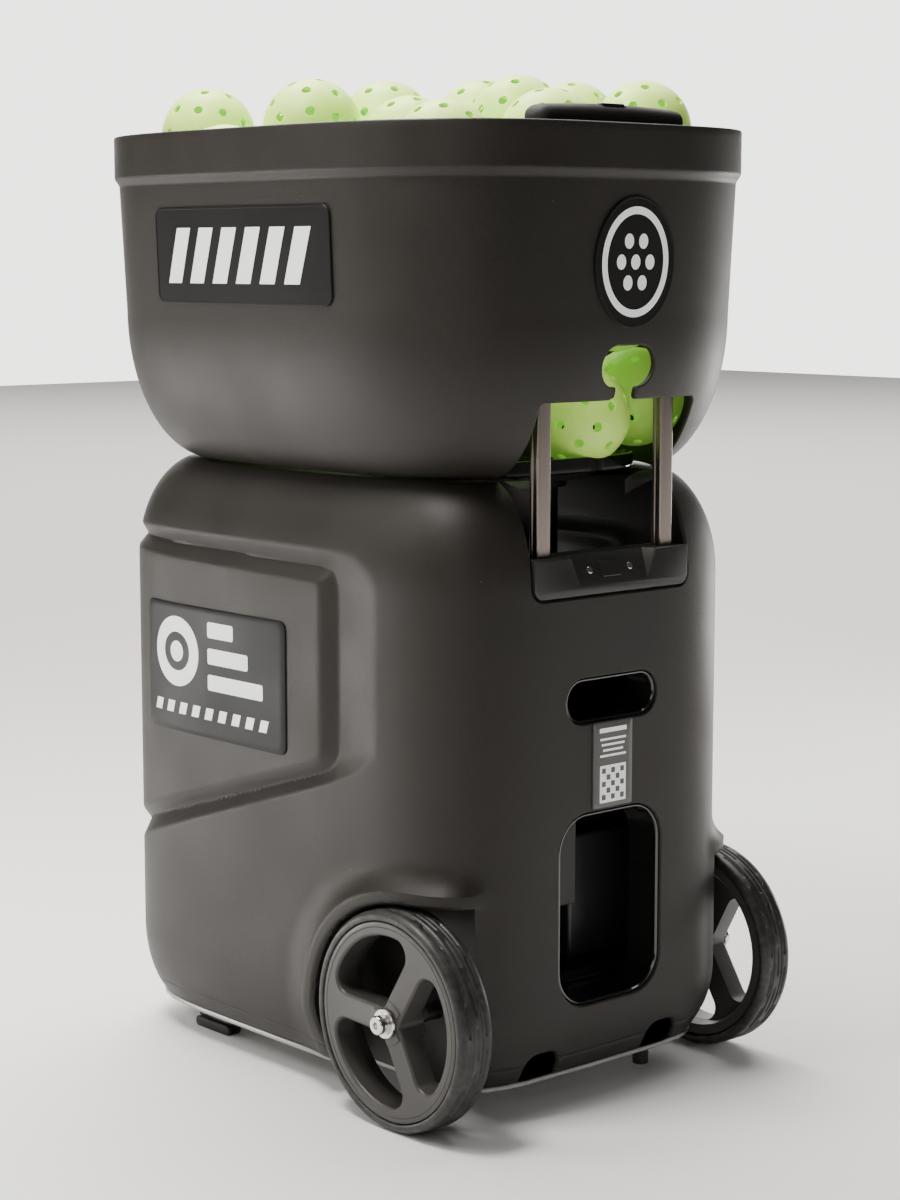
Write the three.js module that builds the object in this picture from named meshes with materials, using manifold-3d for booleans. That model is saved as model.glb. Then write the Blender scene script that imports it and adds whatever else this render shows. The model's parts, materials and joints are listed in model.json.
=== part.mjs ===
// Ball throwing machine on two wheels, for perforated court balls.
// A loose hopper stands on a hollow moulded body. Balls drop from a feed tray through a chute
// to a swivelling, tilting head with two counter-rotating launch wheels, and leave at the front.
// Millimetres, +Z up, +X to the machine's own left, front (ball exit) towards -Y.
// Everything is built about the middle of the body. The whole group is then shifted so that the
// origin lies on the floor under the middle of the bounding box.
import * as THREE from "three";
import { mergeVertices } from "three/addons/utils/BufferGeometryUtils.js";
import Module from "manifold-3d";

const wasm = await Module();
wasm.setup();

// Driving dimensions
const BALL_DIAMETER = 74;
const HOPPER = { halfWidth: 175, halfDepth: 233, power: 3.65, top: 698, bottom: 452.6, wall: 4 };
const BODY = { halfWidth: 152.6, halfDepth: 209.9, power: 5.2, top: 452, bottom: 25.5, wall: 4.5 };
const SHOULDER = { start: 375, height: 80, inset: 44 };
const SKIRT = { start: 80, height: 62, inset: 24 };
const ROAD_WHEEL = { radius: 78.7, width: 30, outerFace: 168, axleY: 158.4, rimShare: 0.9 };
const ARCH = { radius: 89.5, y: 160, z: 72, innerFace: 121, top: 161.5, wall: 4 };
const HANDLE = { x: 61, y: 198, rodWidth: 13, rodDepth: 10, travel: 290, tubeBottom: 58 };
const RECESS = { halfWidth: 77, floor: 371, back: 184 };
const ACCESS = { halfWidth: 51.5, bottom: 74, top: 215, corner: 28 };
const HAND_SLOT = { halfWidth: 45.5, bottom: 279.5, top: 312.5 };
const EXIT = { halfWidth: 60, bottom: 170, top: 350, corner: 24 };
const LAUNCH = { y: -60, z: 250, wheelRadius: 45, wheelWidth: 50, nip: 66, tiltZ: 178 };
const CHUTE = { y: 90, inner: 41, wall: 2.5, bendRadius: 60, bendZ: 310, top: 443 };
const TRAY = { inset: 66, bottom: 452.4, floor: 455.4, rim: 464 };
const GAP = 0.3;

const FRAME_SHIFT = (ROAD_WHEEL.axleY + ROAD_WHEEL.radius - HOPPER.halfDepth) / 2;
const AXLE_Z = ROAD_WHEEL.radius;

// Finishes
const finish = (color, roughness, metalness) => new THREE.MeshStandardMaterial({ color, roughness, metalness });
const SHELL_PLASTIC = finish(0x3b3936, 0.6, 0);
const GLOSS_PLASTIC = finish(0x0e0e0e, 0.18, 0);
const SATIN_PLASTIC = finish(0x1c1c1c, 0.45, 0);
const RUBBER = finish(0x151515, 0.85, 0);
const ROD_METAL = finish(0x6d6259, 0.35, 1);
const BRIGHT_STEEL = finish(0xc8c6c0, 0.25, 1);
const BLACK_STEEL = finish(0x181818, 0.4, 1);
const PLATE_METAL = finish(0x9a9a98, 0.35, 1);
const LABEL_FILM = finish(0x202020, 0.35, 0);
const BATTERY_WRAP = finish(0x26272a, 0.5, 0);

// ---------------------------------------------------------------- solids

// Closed outward solid from any closed three.js geometry.
function solid(geometry) {
  const bare = geometry.clone();
  bare.deleteAttribute("normal");
  bare.deleteAttribute("uv");
  const welded = mergeVertices(bare, 1e-4);
  const vertices = new Float32Array(welded.attributes.position.array);
  const corners = welded.index.array;
  const triangles = [];
  for (let i = 0; i < corners.length; i += 3) {
    const [a, b, c] = [corners[i], corners[i + 1], corners[i + 2]];
    if (a !== b && b !== c && c !== a) triangles.push(a, b, c);
  }
  if (signedVolume(vertices, triangles) < 0) {
    for (let i = 0; i < triangles.length; i += 3) {
      [triangles[i + 1], triangles[i + 2]] = [triangles[i + 2], triangles[i + 1]];
    }
  }
  const triVerts = new Uint32Array(triangles);
  return new wasm.Manifold(new wasm.Mesh({ numProp: 3, vertProperties: vertices, triVerts }));
}

function signedVolume(vertices, triangles) {
  const corner = (i) => new THREE.Vector3().fromArray(vertices, triangles[i] * 3);
  let total = 0;
  for (let i = 0; i < triangles.length; i += 3) {
    total += corner(i).dot(corner(i + 1).cross(corner(i + 2)));
  }
  return total;
}

// Geometry with flat normals from a solid.
function geometryOf(body) {
  const mesh = body.getMesh();
  const geometry = new THREE.BufferGeometry();
  const positions = [];
  for (let i = 0; i < mesh.vertProperties.length; i += mesh.numProp) {
    positions.push(mesh.vertProperties[i], mesh.vertProperties[i + 1], mesh.vertProperties[i + 2]);
  }
  geometry.setAttribute("position", new THREE.Float32BufferAttribute(positions, 3));
  geometry.setIndex(Array.from(mesh.triVerts));
  geometry.computeVertexNormals();
  return geometry;
}

const join = (first, ...others) => others.reduce((sum, other) => sum.add(other), first);
const cut = (first, ...others) => others.reduce((rest, other) => rest.subtract(other), first);

function block(xRange, yRange, zRange) {
  const size = [xRange, yRange, zRange].map(([low, high]) => high - low);
  const middle = [xRange, yRange, zRange].map(([low, high]) => (high + low) / 2);
  return solid(new THREE.BoxGeometry(...size).translate(...middle));
}

// Cylinder from a start point along one axis ("x", "y" or "z").
function rod(axis, radius, start, length, segments = 24) {
  const geometry = new THREE.CylinderGeometry(radius, radius, length, segments);
  geometry.rotateY(Math.PI / segments);
  if (axis === "x") geometry.rotateZ(-Math.PI / 2);
  if (axis === "z") geometry.rotateX(Math.PI / 2);
  const middle = new THREE.Vector3(...start);
  middle[axis] += length / 2;
  return solid(geometry.translate(middle.x, middle.y, middle.z));
}

// Outline extruded along X (outline in y, z), along Y (outline in x, z) or along Z (x, y).
function extrude(axis, outline, low, high, curveSegments = 6) {
  const geometry = new THREE.ExtrudeGeometry(outline, { depth: high - low, bevelEnabled: false, curveSegments });
  geometry.translate(0, 0, low);
  if (axis === "x") {
    const basis = new THREE.Matrix4().makeBasis(
      new THREE.Vector3(0, 1, 0),
      new THREE.Vector3(0, 0, 1),
      new THREE.Vector3(1, 0, 0),
    );
    geometry.applyMatrix4(basis);
  }
  if (axis === "y") geometry.rotateX(Math.PI / 2).scale(1, -1, 1);
  return solid(geometry);
}

// Body of revolution about an axis from (radius, height) pairs.
function turned(axis, pairs, segments) {
  const closed = [...pairs, pairs[0]];
  const startsOnAxis = pairs[0][0] === 0 && pairs[pairs.length - 1][0] === 0;
  const profile = (startsOnAxis ? pairs : closed).map(([r, h]) => new THREE.Vector2(r, h));
  const geometry = new THREE.LatheGeometry(profile, segments);
  if (axis === "x") geometry.rotateZ(-Math.PI / 2);
  if (axis === "z") geometry.rotateX(Math.PI / 2);
  return solid(geometry);
}

// ---------------------------------------------------------------- outlines

function roundedRectangle(halfWidth, bottom, top, radius) {
  const shape = new THREE.Shape();
  shape.moveTo(-halfWidth + radius, bottom);
  shape.absarc(halfWidth - radius, bottom + radius, radius, -Math.PI / 2, 0);
  shape.absarc(halfWidth - radius, top - radius, radius, 0, Math.PI / 2);
  shape.absarc(-halfWidth + radius, top - radius, radius, Math.PI / 2, Math.PI);
  shape.absarc(-halfWidth + radius, bottom + radius, radius, Math.PI, 1.5 * Math.PI);
  return shape;
}

function polygon(points) {
  return new THREE.Shape(points.map(([x, y]) => new THREE.Vector2(x, y)));
}

// Rounded-square plan curve |x/a|^p + |y/b|^p = 1, moved in by an inset.
function planCurve({ halfWidth, halfDepth, power }, inset, segments) {
  const points = [];
  for (let i = 0; i < segments; i += 1) {
    const angle = (2 * Math.PI * i) / segments;
    const reach = (value) => Math.sign(value) * Math.abs(value) ** (2 / power);
    const x = (halfWidth - inset) * reach(Math.cos(angle));
    const y = (halfDepth - inset) * reach(Math.sin(angle));
    points.push([x, y]);
  }
  return points;
}

// Solid skinned through plan curves at rising heights; sections are [z, inset] pairs.
function loft(plan, sections, segments = 40) {
  const rings = sections.map(([z, inset]) => planCurve(plan, inset, segments).map(([x, y]) => [x, y, z]));
  const vertices = rings.flat();
  const triangles = [];
  for (let ring = 0; ring < rings.length - 1; ring += 1) {
    for (let i = 0; i < segments; i += 1) {
      const a = ring * segments + i;
      const b = ring * segments + ((i + 1) % segments);
      triangles.push(a, b, b + segments, a, b + segments, a + segments);
    }
  }
  const bottomCentre = vertices.push([0, 0, sections[0][0]]) - 1;
  const topCentre = vertices.push([0, 0, sections[sections.length - 1][0]]) - 1;
  const topRing = (rings.length - 1) * segments;
  for (let i = 0; i < segments; i += 1) {
    const next = (i + 1) % segments;
    triangles.push(bottomCentre, next, i, topCentre, topRing + i, topRing + next);
  }
  const geometry = new THREE.BufferGeometry();
  geometry.setAttribute("position", new THREE.Float32BufferAttribute(vertices.flat(), 3));
  geometry.setIndex(triangles);
  return solid(geometry);
}

// Inset of a quarter-ellipse edge that starts at a fraction 0 and turns flat at 1.
const ellipseInset = (fraction, inset) => inset * (1 - Math.sqrt(1 - Math.min(1, Math.max(0, fraction)) ** 2));

function bodyInset(z) {
  const shoulder = ellipseInset((z - SHOULDER.start) / SHOULDER.height, SHOULDER.inset);
  const skirt = ellipseInset((SKIRT.start - z) / SKIRT.height, SKIRT.inset);
  return shoulder + skirt;
}

function bodySections(from, to, raise, extra) {
  const heights = [from, 44, SKIRT.start, SHOULDER.start, 404, 426, 441, to];
  return heights.map((z) => [z, bodyInset(z + raise) + extra]);
}

// ---------------------------------------------------------------- body shell

// Wheel arch outline in (y, z): a round front and a flat top that runs out to the rear.
function archOutline(grow) {
  const radius = ARCH.radius + grow;
  const shape = new THREE.Shape();
  shape.moveTo(ARCH.y - radius, -20);
  shape.lineTo(ARCH.y - radius, ARCH.z);
  shape.absarc(ARCH.y, ARCH.z, radius, Math.PI, Math.PI / 2, true);
  shape.lineTo(280, ARCH.z + radius);
  shape.lineTo(280, -20);
  return shape;
}

function archPocket(side, grow) {
  const inner = ARCH.innerFace - grow;
  const [low, high] = side > 0 ? [inner, 220] : [-220, -inner];
  return extrude("x", archOutline(grow), low, high);
}

// Lip that stands proud of the body around each arch.
function fenderLip(side) {
  const [proud, band] = [11, 12.5];
  const grown = loft(BODY, [[30, 0], [84, -proud], [ARCH.top + 25, -proud]]);
  const [low, high] = side > 0 ? [118, 220] : [-220, -118];
  return extrude("x", archOutline(band), low, high).intersect(grown);
}

// Raised-panel border on each side: a shallow groove between two outlines.
function panelGroove(side) {
  const outer = polygon([
    [-215, 402], [98, 402], [125, 380], [125, 259], [108, 242], [-215, 140],
  ]);
  const inner = polygon([
    [-230, 392], [68, 387], [81, 376], [81, 252], [69, 239], [-230, 150],
  ]);
  const depth = 3;
  const reach = BODY.halfWidth - depth;
  const [low, high] = side > 0 ? [reach, 170] : [-170, -reach];
  return extrude("x", outer, low, high).subtract(extrude("x", inner, low - 1, high + 1));
}

function tubeNotch(side) {
  const outline = roundedRectangle(16, 0, 44, 12);
  return extrude("y", outline, 186, 215).translate([side * HANDLE.x, 0, 0]);
}

function bodyShell() {
  const outside = loft(BODY, bodySections(BODY.bottom, BODY.top, 0, 0));
  const cavitySections = bodySections(BODY.bottom - 2, BODY.top - 5, 3, BODY.wall);
  let cavity = loft(BODY, cavitySections);
  let shell = join(outside, fenderLip(1), fenderLip(-1));
  for (const side of [1, -1]) {
    cavity = cavity.subtract(archPocket(side, ARCH.wall));
    shell = cut(shell, archPocket(side, 0), panelGroove(side));
  }
  const recessWall = 3.5;
  const recess = (grow) => block(
    [-RECESS.halfWidth - grow, RECESS.halfWidth + grow],
    [RECESS.back - grow, 230],
    [RECESS.floor - grow, 470],
  );
  cavity = cavity.subtract(recess(recessWall));
  shell = cut(shell, recess(0), cavity);
  const tubeRoom = (side) => block(
    [side * HANDLE.x - 8.4, side * HANDLE.x + 8.4],
    [HANDLE.y - 7, HANDLE.y + 7],
    [HANDLE.tubeBottom - 1, RECESS.floor + 5],
  );
  const access = roundedRectangle(ACCESS.halfWidth, ACCESS.bottom, ACCESS.top, ACCESS.corner);
  const slotRadius = (HAND_SLOT.top - HAND_SLOT.bottom) / 2 - 0.1;
  const slot = roundedRectangle(HAND_SLOT.halfWidth, HAND_SLOT.bottom, HAND_SLOT.top, slotRadius);
  const exit = roundedRectangle(EXIT.halfWidth, EXIT.bottom, EXIT.top, EXIT.corner);
  return cut(
    shell,
    tubeRoom(1),
    tubeRoom(-1),
    tubeNotch(1),
    tubeNotch(-1),
    extrude("y", access, 190, 220, 5),
    extrude("y", slot, 190, 220, 5),
    extrude("y", exit, -220, -190),
    rod("z", CHUTE.inner + 1, [0, CHUTE.y, BODY.top - 20], 40),
    rod("z", 9, [0, 0, BODY.top - 20], 40, 20),
    rod("x", 6.5, [-150, ROAD_WHEEL.axleY, AXLE_Z], 300, 20),
  );
}

// ---------------------------------------------------------------- underside and feet

function basePlate() {
  const inset = bodyInset(BODY.bottom);
  const plate = loft(BODY, [[BODY.bottom - 4, inset - 0.5], [BODY.bottom - GAP, inset]]);
  const clearance = (side) => archPocket(side, 1);
  return cut(plate, clearance(1), clearance(-1));
}

const FOOT = { x: 115, y: -112, halfLength: 24, tab: 3, padTop: 8 };

// Bent steel foot: a flange under the base plate and a tab with a tie-down hole.
function footBracket(side) {
  const top = BODY.bottom - 4 - GAP;
  const shape = new THREE.Shape();
  const radius = 10;
  shape.moveTo(FOOT.y - FOOT.halfLength, top);
  shape.lineTo(FOOT.y - FOOT.halfLength, 3 + radius);
  shape.absarc(FOOT.y - FOOT.halfLength + radius, 3 + radius, radius, Math.PI, 1.5 * Math.PI);
  shape.absarc(FOOT.y + FOOT.halfLength - radius, 3 + radius, radius, 1.5 * Math.PI, 2 * Math.PI);
  shape.lineTo(FOOT.y + FOOT.halfLength, top);
  const hole = new THREE.Path();
  hole.absarc(FOOT.y + 8, 14, 3.5, 0, 2 * Math.PI);
  shape.holes.push(hole);
  const tab = extrude("x", shape, FOOT.x - FOOT.tab / 2, FOOT.x + FOOT.tab / 2, 5);
  const flangeY = [FOOT.y - FOOT.halfLength, FOOT.y + FOOT.halfLength];
  const flange = block([FOOT.x - 32, FOOT.x], flangeY, [top - FOOT.tab, top]);
  return mirrorFor(side, join(tab, flange));
}

// Rubber edge that the foot stands on; its slot holds the tab's lower edge.
function footPad(side) {
  const outline = roundedRectangle(FOOT.halfLength - 2, 0, FOOT.padTop, 3.5);
  const pad = extrude("x", outline, FOOT.x - 6, FOOT.x + 6, 2).translate([0, FOOT.y, 0]);
  const halfSlot = FOOT.tab / 2 + GAP;
  const slot = block([FOOT.x - halfSlot, FOOT.x + halfSlot], [FOOT.y - 40, FOOT.y + 40], [3 - GAP, 20]);
  return mirrorFor(side, pad.subtract(slot));
}

const mirrorFor = (side, body) => (side > 0 ? body : body.mirror([1, 0, 0]));

function rearBumper() {
  const top = BODY.bottom - 4 - GAP;
  const bumper = rod("z", 6, [0, 0, 0], 12, 16);
  return bumper.translate([-HANDLE.x + 6, 188, top - 12]);
}

// ---------------------------------------------------------------- road wheels

function axle() {
  const reach = ROAD_WHEEL.outerFace - 1;
  return rod("x", 6, [-reach, ROAD_WHEEL.axleY, AXLE_Z], 2 * reach, 20);
}

// Ribbed tyre, turned about the wheel's own axis; height runs from the inner to the outer face.
function tyre() {
  const R = ROAD_WHEEL.radius;
  const W = ROAD_WHEEL.width;
  const groove = 1.6;
  const rim = R * ROAD_WHEEL.rimShare;
  return turned("x", [
    [rim, 0], [R - 5, 0], [R, 6], [R, W / 2 - 4], [R - groove, W / 2 - 3], [R - groove, W / 2 + 3],
    [R, W / 2 + 4], [R, W - 6], [R - 5, W], [rim, W],
  ], 36);
}

// Three-spoke hub with deep rounded windows.
function wheelHub() {
  const W = ROAD_WHEEL.width;
  const rim = ROAD_WHEEL.radius * ROAD_WHEEL.rimShare - GAP;
  let hub = turned("x", [
    [8.3, 6], [17, 6], [17, 12], [rim - 10, 12], [rim - 7, 2], [rim, 2],
    [rim, W - 0.6], [16, W - 0.6], [16, W + 1.2], [8.3, W + 1.2],
  ], 32);
  const window = new THREE.Shape();
  const spokeHalf = 9;
  const reach = rim - 12;
  const spread = Math.PI / 3 - Math.asin(spokeHalf / reach) - 0.16;
  window.absarc(0, 0, reach, -spread, spread);
  window.absarc(0, 0, 24, 0.45, -0.45, true);
  for (let spoke = 0; spoke < 3; spoke += 1) {
    const opening = extrude("x", window, -5, W + 5, 4).rotate([(spoke * 360) / 3 - 2, 0, 0]);
    hub = hub.subtract(opening);
  }
  return hub;
}

function wheelBush() {
  return turned("x", [[6 + GAP, 4], [8, 4], [8, ROAD_WHEEL.width], [6 + GAP, ROAD_WHEEL.width]], 20);
}

function axleWasher() {
  return turned("x", [[4.3, 0], [10.5, 0], [10.5, 2], [4.3, 2]], 16);
}

// Button-head screw with a hexagonal key socket, threaded into the axle's end.
function axleBolt() {
  const head = turned("x", [[0, 2 + GAP], [7.5, 2 + GAP], [7.5, 5.5], [5.5, 9], [0, 9]], 16);
  const shank = rod("x", 3.8, [-0.6, 0, 0], 3.5, 12);
  const socket = rod("x", 2.8, [6, 0, 0], 10, 6);
  return head.add(shank).subtract(socket);
}

// ---------------------------------------------------------------- tow handle

// Chamfered bar section.
function barSection(halfWidth, halfDepth, chamfer) {
  return polygon([
    [-halfWidth + chamfer, -halfDepth], [halfWidth - chamfer, -halfDepth],
    [halfWidth, -halfDepth + chamfer], [halfWidth, halfDepth - chamfer],
    [halfWidth - chamfer, halfDepth], [-halfWidth + chamfer, halfDepth],
    [-halfWidth, halfDepth - chamfer], [-halfWidth, -halfDepth + chamfer],
  ]);
}

const GRIP = { halfWidth: 72, bottom: 692, top: 712, halfDepth: 12 };
const ROD_BOTTOM = HANDLE.tubeBottom + 4 + HANDLE.travel;

function handleRod(side) {
  const section = barSection(HANDLE.rodWidth / 2, HANDLE.rodDepth / 2, 2);
  const bar = extrude("z", section, ROD_BOTTOM, GRIP.bottom - GAP);
  return bar.translate([side * HANDLE.x, HANDLE.y, 0]);
}

function handleTube(side) {
  const section = barSection(8, 6.4, 1.5);
  const bore = barSection(HANDLE.rodWidth / 2 + 0.5, HANDLE.rodDepth / 2 + 0.5, 1.6);
  const top = RECESS.floor - 1;
  const outside = extrude("z", section, HANDLE.tubeBottom, top);
  const tube = outside.subtract(extrude("z", bore, HANDLE.tubeBottom + 2, top + 5));
  return tube.translate([side * HANDLE.x, HANDLE.y, 0]);
}

const DIP = { lowHalf: 33, highHalf: 44, bottom: 381, back: 194 };

// Plate that guides the rods at the foot of the recess, with a finger dip in the middle.
function handleBezel() {
  const outline = new THREE.Shape();
  const [half, low, high, radius] = [RECESS.halfWidth - 0.6, RECESS.floor + GAP, 400, 3];
  outline.moveTo(-half + radius, low);
  outline.absarc(half - radius, low + radius, radius, -Math.PI / 2, 0);
  outline.lineTo(half, high);
  outline.lineTo(-half, high);
  outline.absarc(-half + radius, low + radius, radius, Math.PI, 1.5 * Math.PI);
  const plate = extrude("y", outline, RECESS.back + GAP, 210.5, 4);
  const { lowHalf, highHalf, bottom, back } = DIP;
  const dipOutline = polygon([[-highHalf, high + 1], [-lowHalf, bottom], [lowHalf, bottom], [highHalf, high + 1]]);
  const dip = extrude("y", dipOutline, back, 216);
  const holes = [1, -1].map((side) => {
    const section = barSection(HANDLE.rodWidth / 2 + 0.5, HANDLE.rodDepth / 2 + 0.5, 1.6);
    return extrude("z", section, 360, 410).translate([side * HANDLE.x, HANDLE.y, 0]);
  });
  return cut(plate, dip, ...holes);
}

function grip() {
  const section = roundedRectangle(GRIP.halfDepth, GRIP.bottom, GRIP.top, 8);
  const bar = extrude("x", section, -GRIP.halfWidth, GRIP.halfWidth, 5).translate([0, HANDLE.y, 0]);
  const buttonWell = block([-13, 13], [HANDLE.y + 0.5, HANDLE.y + 9.5], [GRIP.top - 12, GRIP.top + 1]);
  return bar.subtract(buttonWell);
}

function gripButton() {
  const outline = roundedRectangle(12.4, GRIP.top - 6, GRIP.top + 0.6, 2.5);
  return extrude("y", outline, HANDLE.y + 1, HANDLE.y + 9, 4);
}

// ---------------------------------------------------------------- hopper

const HOPPER_PROFILE = { lipTop: 667, lipProud: 3, curveTop: 566, curveInset: 7, floorInset: 62 };

// Nearly straight sides over an elliptical bowl, with a thicker lip at the rim.
function hopperInset(z) {
  const { lipTop, lipProud, curveTop, curveInset, floorInset } = HOPPER_PROFILE;
  if (z >= lipTop) return 0;
  if (z >= curveTop) return lipProud + ((lipTop - z) / (lipTop - curveTop)) * (curveInset - lipProud);
  const fraction = (curveTop - z) / (curveTop - HOPPER.bottom + 0.6);
  return curveInset + ellipseInset(fraction, floorInset - curveInset);
}

function hopperSections(from, to, raise, extra) {
  const heights = [from, 456, 463, 474, 490, 516, HOPPER_PROFILE.curveTop, HOPPER_PROFILE.lipTop - 3];
  const lip = HOPPER_PROFILE.lipTop;
  return [...heights.map((z) => [z, hopperInset(z + raise) + extra]), [lip, extra], [to, extra]];
}

// Keyhole over a wide cut-out that lets the handle rods through.
function hopperCutout() {
  const wide = roundedRectangle(76, 430, 508, 4);
  const neck = roundedRectangle(10, 500, 525, 0.5);
  const eye = roundedRectangle(25.5, 517, 546, 14.4);
  const low = 165;
  const parts = [extrude("y", wide, low, 240, 4), extrude("y", neck, low, 240, 2), extrude("y", eye, low, 240, 6)];
  return join(...parts);
}

function hopperShell() {
  const outside = loft(HOPPER, hopperSections(HOPPER.bottom, HOPPER.top, 0, 0));
  const insideSections = hopperSections(HOPPER.bottom - 1, HOPPER.top + 1, 1.5, HOPPER.wall);
  const inside = loft(HOPPER, insideSections);
  return cut(outside, inside, hopperCutout());
}

// Oval film pressed on the rear wall, curved with it.
function wallLabel(plan, insetAt, zRange, outlineCutter, proud) {
  const [low, high] = zRange;
  const heights = [low - 2, (low + high) / 2, high + 2];
  const outer = loft(plan, heights.map((z) => [z, insetAt(z) - proud]), 60);
  const inner = loft(plan, heights.map((z) => [z, insetAt(z) - GAP]), 60);
  return outer.subtract(inner).intersect(outlineCutter);
}

const LABEL_CORNER = 8;
const RAISED_LABEL = 1.6;
const NAMEPLATE = { front: -104, rear: 102, middleZ: 608, halfHeight: 36 };
const BADGE = { halfWidth: 39.5, halfHeight: 45.5, middleZ: 603.5 };
const SIDE_LABEL = { front: -151, rear: 28, middleZ: 295.5, halfHeight: 49.5, proud: 1.1 };
const GUIDE_LABEL = { halfWidth: 19.5, bottom: 217.5, top: 278, corner: 1.5, proud: 1 };

// Prism through one side wall with the outline of a wide label.
function sideCutter(side, { front, rear, middleZ, halfHeight }) {
  const outline = outlineTurned(roundedRectangle(halfHeight, front, rear, LABEL_CORNER), middleZ);
  const [near, far] = [120, 200];
  return extrude("x", outline, side > 0 ? near : -far, side > 0 ? far : -near, 4);
}

function nameplate(side) {
  const { middleZ, halfHeight } = NAMEPLATE;
  const zRange = [middleZ - halfHeight - 1, middleZ + halfHeight + 1];
  return wallLabel(HOPPER, hopperInset, zRange, sideCutter(side, NAMEPLATE), RAISED_LABEL);
}

// Swaps a tall outline centred on x = 0 into a wide one centred on a height.
function outlineTurned(shape, height) {
  const points = shape.getPoints(4).map((point) => new THREE.Vector2(point.y, point.x + height));
  return new THREE.Shape(points.reverse());
}

function rearBadge() {
  const { halfWidth, halfHeight, middleZ } = BADGE;
  const outline = new THREE.Shape();
  outline.absellipse(0, middleZ, halfWidth, halfHeight, 0, 2 * Math.PI);
  const zRange = [middleZ - halfHeight - 2, middleZ + halfHeight + 2];
  return wallLabel(HOPPER, hopperInset, zRange, extrude("y", outline, 190, 260, 16), RAISED_LABEL);
}

function sideLabel(side) {
  const { middleZ, halfHeight, proud } = SIDE_LABEL;
  const zRange = [middleZ - halfHeight - 2, middleZ + halfHeight + 2];
  return wallLabel(BODY, () => 0, zRange, sideCutter(side, SIDE_LABEL), proud);
}

function guideLabel() {
  const { halfWidth, bottom, top, corner, proud } = GUIDE_LABEL;
  const outline = roundedRectangle(halfWidth, bottom, top, corner);
  return wallLabel(BODY, () => 0, [bottom - 2, top + 2], extrude("y", outline, 150, 230, 3), proud);
}

// ---------------------------------------------------------------- ball feed

function feedTray() {
  const sections = (grow, low, high) => [[low, TRAY.inset - grow], [high, TRAY.inset - grow]];
  const dish = loft(HOPPER, sections(0, TRAY.bottom, TRAY.rim));
  const hollow = loft(HOPPER, sections(-3, TRAY.floor, TRAY.rim + 1));
  const hole = rod("z", CHUTE.inner, [0, CHUTE.y, TRAY.bottom - 5], 20, 32);
  const shaftHole = rod("z", 7, [0, 0, TRAY.bottom - 5], 20, 20);
  return cut(dish, hollow, hole, shaftHole);
}

// Five-fingered wheel that sweeps balls round the tray, one over the hole at a time.
function carousel() {
  const low = TRAY.floor + 2;
  const cap = turned("z", [[0, 0], [30, 0], [30, 10], [18, 24], [0, 30]], 24).translate([0, 0, low]);
  const bore = rod("z", 5 + GAP, [0, 0, low - 1], 16, 16);
  const fingers = [];
  const count = 5;
  for (let i = 0; i < count; i += 1) {
    const arm = block([-3.5, 3.5], [24, 96], [low, low + 12]);
    const tip = rod("z", 3.5, [0, 96, low], 12, 12);
    fingers.push(join(arm, tip).rotate([0, 0, ((i + 0.5) * 360) / count]));
  }
  return join(cap, ...fingers).subtract(bore);
}

const SHAFT_RADIUS = 5;
const FEED_MOTOR = { bottom: 382, split: 415, top: 446, canRadius: 20, gearboxRadius: 26 };

function carouselShaft() {
  return rod("z", SHAFT_RADIUS, [0, 0, FEED_MOTOR.top + 0.8], 24, 16);
}

function feedGearmotor() {
  const { bottom, split, top, canRadius, gearboxRadius } = FEED_MOTOR;
  const can = rod("z", canRadius, [0, 0, bottom], split - bottom + 1, 20);
  const gearbox = rod("z", gearboxRadius, [0, 0, split], top - split, 24);
  return can.add(gearbox);
}

// Tube that turns the falling ball forward to the launch wheels.
function chuteTube(radius, start, end) {
  const path = new THREE.CurvePath();
  const bendY = CHUTE.y - CHUTE.bendRadius;
  const turn = new THREE.Vector3(0, CHUTE.y, CHUTE.bendZ);
  path.add(new THREE.LineCurve3(new THREE.Vector3(0, CHUTE.y, start), turn));
  const arc = [];
  const steps = 6;
  for (let i = 0; i <= steps; i += 1) {
    const angle = (Math.PI / 2) * (i / steps);
    const y = bendY + CHUTE.bendRadius * Math.cos(angle);
    const z = CHUTE.bendZ - CHUTE.bendRadius * Math.sin(angle);
    arc.push(new THREE.Vector3(0, y, z));
  }
  for (let i = 0; i < steps; i += 1) path.add(new THREE.LineCurve3(arc[i], arc[i + 1]));
  const last = arc[steps];
  path.add(new THREE.LineCurve3(last, new THREE.Vector3(0, last.y - end, last.z)));
  return tubeAlong(path, radius);
}

function tubeAlong(path, radius, sides = 16) {
  const points = path.curves.map((line) => line.v1).concat(path.curves[path.curves.length - 1].v2);
  const rings = points.map((point, i) => {
    const before = points[Math.max(0, i - 1)];
    const after = points[Math.min(points.length - 1, i + 1)];
    const direction = after.clone().sub(before).normalize();
    const across = new THREE.Vector3(1, 0, 0);
    const up = direction.clone().cross(across).normalize();
    return ringAround(point, across, up, radius, sides);
  });
  return skin(rings);
}

function ringAround(centre, across, up, radius, sides) {
  const ring = [];
  for (let i = 0; i < sides; i += 1) {
    const angle = (2 * Math.PI * i) / sides;
    const offset = across.clone().multiplyScalar(radius * Math.cos(angle));
    offset.addScaledVector(up, radius * Math.sin(angle));
    ring.push(offset.add(centre).toArray());
  }
  return ring;
}

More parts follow.
